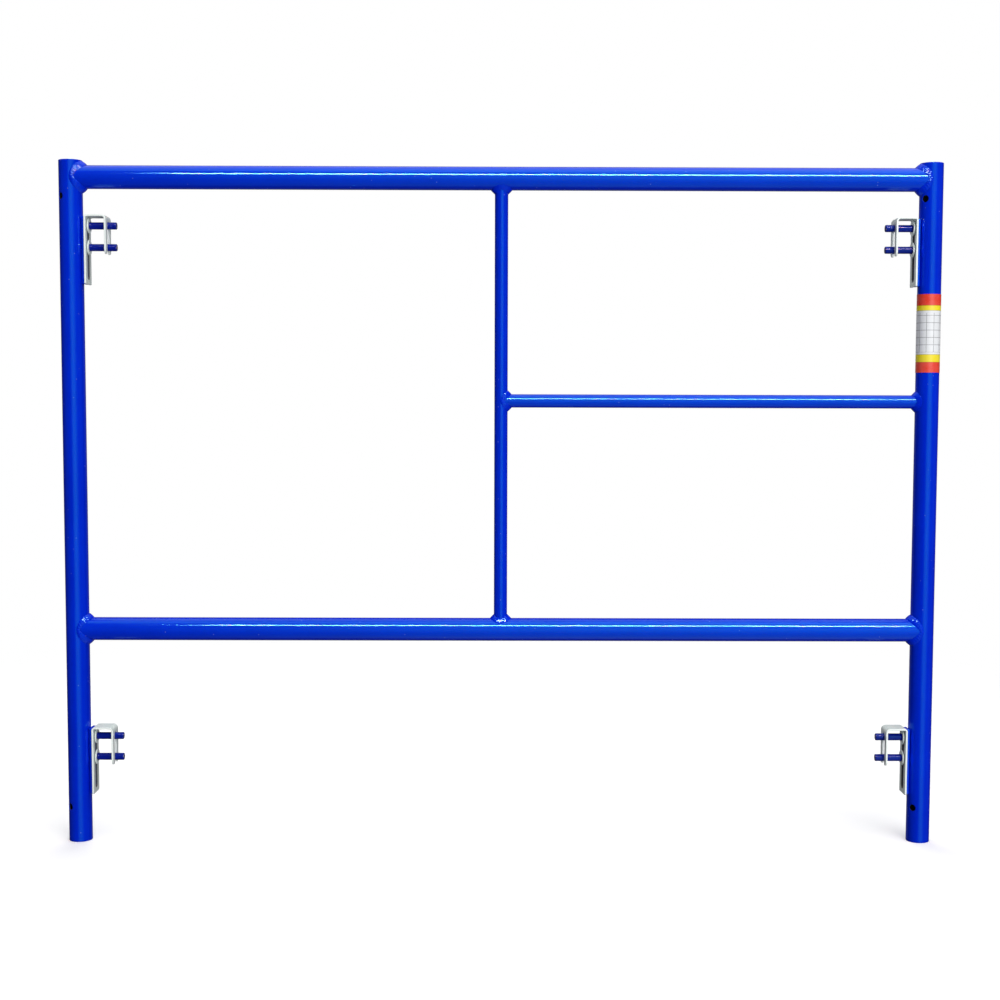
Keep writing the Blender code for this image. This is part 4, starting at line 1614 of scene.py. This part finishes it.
@dataclass
class WrapLabel:
    """A thin label round a leg: a cylinder's skin, open at its seam, with softly lifted edges.

    Its inner radius is the leg's plus clearance + lift e^(-edge / 2 mm) (1 + sin 5a) / 2, where a is
    the angle round the leg and edge the distance from the nearer edge.
    """

    leg: Leg
    node: str = "wrap_label"
    columns: int = 180
    rows: int = 70
    lift: float = 0.12 * MM
    clearance: float = 0.22 * MM
    thickness: float = 0.2 * MM
    half_seam: float = 0.15

    def __post_init__(self) -> None:
        """Read its place from the frame."""
        low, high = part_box(self.node)
        self.bottom, self.top = low.z, high.z
        self.outer = (high.x - low.x) / 2

    def build(self, finishes: Finishes) -> bpy.types.Object:
        """Make the label.

        Args:
            finishes: The model's materials.

        Returns:
            The finished piece.
        """
        angle = math.pi / 2 + np.linspace(self.half_seam, TAU - self.half_seam, self.columns)
        height = np.linspace(self.bottom, self.top, self.rows)[:, None]
        edge = np.minimum(height - self.bottom, self.top - height)
        curl = self.lift * np.exp(-edge / (2 * MM)) * (0.5 + 0.5 * np.sin(5 * angle))
        inner = self.leg.radius + self.clearance + curl
        normal = np.stack(np.broadcast_arrays(np.cos(angle), np.sin(angle), 0 * height), axis=-1)
        points = normal * np.broadcast_to(inner, normal.shape[:2])[..., None]
        points[..., 2] = height
        points[..., 0] += self.leg.x
        wrap = np.broadcast_to(angle * self.outer, normal.shape[:2])
        wear = np.broadcast_to(np.clip(1 - edge / (3 * MM), 0, 1), normal.shape[:2])
        surface = thick_sheet(points, normal * self.thickness, wrap=wrap, wear=wear)
        return make_piece("fine_" + self.node, surface, finishes.film, Slot.FILM, "frame", self.node)


# ----------------------------------------------------------------------------------------------
# Studio
# ----------------------------------------------------------------------------------------------


@dataclass(frozen=True)
class SoftBox:
    """A rectangular studio light, its brightness given per area of its face."""

    name: str
    place: tuple[float, float, float]
    aim: tuple[float, float, float]
    size: tuple[float, float]
    radiance: float
    colour: tuple[float, float, float] = (1.0, 1.0, 1.0)
    lights_diffuse: bool = True
    shows_in_gloss: bool = True
    paint_only: bool = False

    def build(self) -> None:
        """Hang the light."""
        light = bpy.data.lights.new(self.name, 'AREA')
        light.shape = 'RECTANGLE'
        light.size, light.size_y = self.size
        light.energy = self.radiance * math.pi * self.size[0] * self.size[1]
        light.color = self.colour
        lamp = bpy.data.objects.new(self.name, light)
        lamp.visible_diffuse = self.lights_diffuse
        lamp.visible_glossy = self.shows_in_gloss
        if self.paint_only:
            lamp.light_linking.receiver_collection = painted_pieces()
        place, aim = np.array(self.place), np.array(self.aim)
        back = unit(place - aim)
        guide = np.array([0.0, 1.0, 0.0] if abs(back[2]) > 0.95 else [0.0, 0.0, 1.0])
        side = unit(np.cross(guide, back))
        up = np.cross(back, side)
        matrix = np.eye(4)
        matrix[:3, 0], matrix[:3, 1], matrix[:3, 2], matrix[:3, 3] = side, up, back, place
        lamp.matrix_world = Matrix(matrix)
        bpy.context.scene.collection.objects.link(lamp)


@dataclass
class Studio:
    """Floor, surroundings, lights and camera.

    The strip light is tinted against the paint's own tint and shines on painted pieces alone, so
    that its streak on them is near white and the zinc takes no colour from it.
    """

    floor_half: float = 7.0
    camera_place: tuple[float, float, float] = (-0.0145, -2.690, 0.8014)
    pitch: float = 0.0673
    yaw: float = -0.0049
    roll: float = -0.0028
    lens: float = 54.06
    front_left: float = 0.09
    front_right: float = 1.5
    far_right: float = 0.15
    behind: float = 0.17
    below: float = 0.5
    lights: tuple[SoftBox, ...] = (
        SoftBox("overhead", (0.0, 0.3, 3.6), (0.0, 0.3, 0.0), (5.0, 4.0), 1.35),
        SoftBox("strip", (0.2, -2.0, 2.45), (0.1, 0.0, 0.8), (2.6, 0.36), 175.0, (1.0, 0.29, 0.25),
                lights_diffuse=False, paint_only=True),
        SoftBox("fill", (1.2, -3.2, 1.4), (0.0, 0.0, 0.6), (3.0, 2.6), 2.5, shows_in_gloss=False),
        SoftBox("back fill", (-0.6, 3.4, 1.6), (0.0, 0.0, 0.6), (3.0, 2.6), 2.8, shows_in_gloss=False),
    )

    def build(self, finishes: Finishes) -> None:
        """Set up the studio.

        Args:
            finishes: The model's materials.
        """
        self._floor(finishes)
        self._world()
        for light in self.lights:
            light.build()
        self._camera()
        bpy.context.scene.view_settings.view_transform = 'Standard'

    def _floor(self, finishes: Finishes) -> None:
        """Lay the pale floor just below the legs."""
        half = self.floor_half
        corners = [(-half, -half, 0.0), (half, -half, 0.0), (half, half, 0.0), (-half, half, 0.0)]
        mesh = bpy.data.meshes.new("studio_floor")
        mesh.from_pydata(corners, [], [(0, 1, 2, 3)])
        mesh.materials.append(Floor().build(finishes.effects))
        floor = bpy.data.objects.new("studio_floor", mesh)
        bpy.context.scene.collection.objects.link(floor)
        floor.location.z = -0.2 * MM
        floor.visible_diffuse = False
        floor.visible_glossy = False

    def _world(self) -> None:
        """A white backdrop behind the frame and a dark room in front of it, white wherever it is seen."""
        world = bpy.data.worlds.new("studio")
        world.use_nodes = True
        graph = Graph(world.node_tree)
        direction = graph.node("TexCoord").outputs["Generated"]
        way = graph.node("SeparateXYZ", {0: direction})
        front = graph.span(way.outputs["X"], -0.35, 0.12, self.front_left, self.front_right)
        right = graph.span(way.outputs["X"], 0.3, 0.8, self.front_right, self.far_right)
        front = graph.math('MINIMUM', front, right)
        low = graph.span(way.outputs["Z"], -0.6, 0.1, self.below, 1.0)
        ahead = graph.span(way.outputs["Y"], -0.15, 0.35, 1.0, 0.0)
        front = graph.math('MULTIPLY', front, graph.math('MULTIPLY', low, ahead))
        lit = graph.math('MAXIMUM', front, graph.span(way.outputs["Y"], 0.2, 1.0, 0.0, self.behind))
        strength = graph.math('MAXIMUM', graph.node("LightPath").outputs["Is Camera Ray"], lit)
        background = graph.node("Background", {"Color": (1.0, 1.0, 1.0, 1.0), "Strength": strength})
        graph.node("OutputWorld", {"Surface": background.outputs[0]})
        bpy.context.scene.world = world

    def _camera(self) -> None:
        """Aim the camera: pitched down, with a slight yaw and roll."""
        cp, sp = math.cos(self.pitch), math.sin(self.pitch)
        cy, sy = math.cos(self.yaw), math.sin(self.yaw)
        forward = np.array([-sy * cp, cy * cp, -sp])
        right = np.array([cy, sy, 0.0])
        up = np.cross(right, forward)
        cr, sr = math.cos(self.roll), math.sin(self.roll)
        matrix = np.eye(4)
        matrix[:3, 0] = cr * right - sr * up
        matrix[:3, 1] = sr * right + cr * up
        matrix[:3, 2] = -forward
        matrix[:3, 3] = self.camera_place
        camera = bpy.data.objects.new("camera", bpy.data.cameras.new("camera"))
        camera.data.lens = self.lens
        camera.data.clip_end = 50.0
        camera.matrix_world = Matrix(matrix)
        bpy.context.scene.collection.objects.link(camera)
        bpy.context.scene.camera = camera


def write_sizes() -> None:
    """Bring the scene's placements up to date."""
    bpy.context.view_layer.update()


def main() -> None:
    """Build the model and its studio."""
    logging.basicConfig(level=logging.INFO, format="%(message)s")
    low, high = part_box("wrap_label")
    finishes = Finishes.build(low.z, high.z)
    skeleton = Skeleton()
    skeleton.build(finishes)
    for level in Level:
        for side, leg in skeleton.legs.items():
            Station(level, side, leg.x, leg.radius).build(finishes)
    WrapLabel(skeleton.legs[Side.RIGHT]).build(finishes)
    Studio().build(finishes)
    write_sizes()


if __name__ == "__main__":
    main()
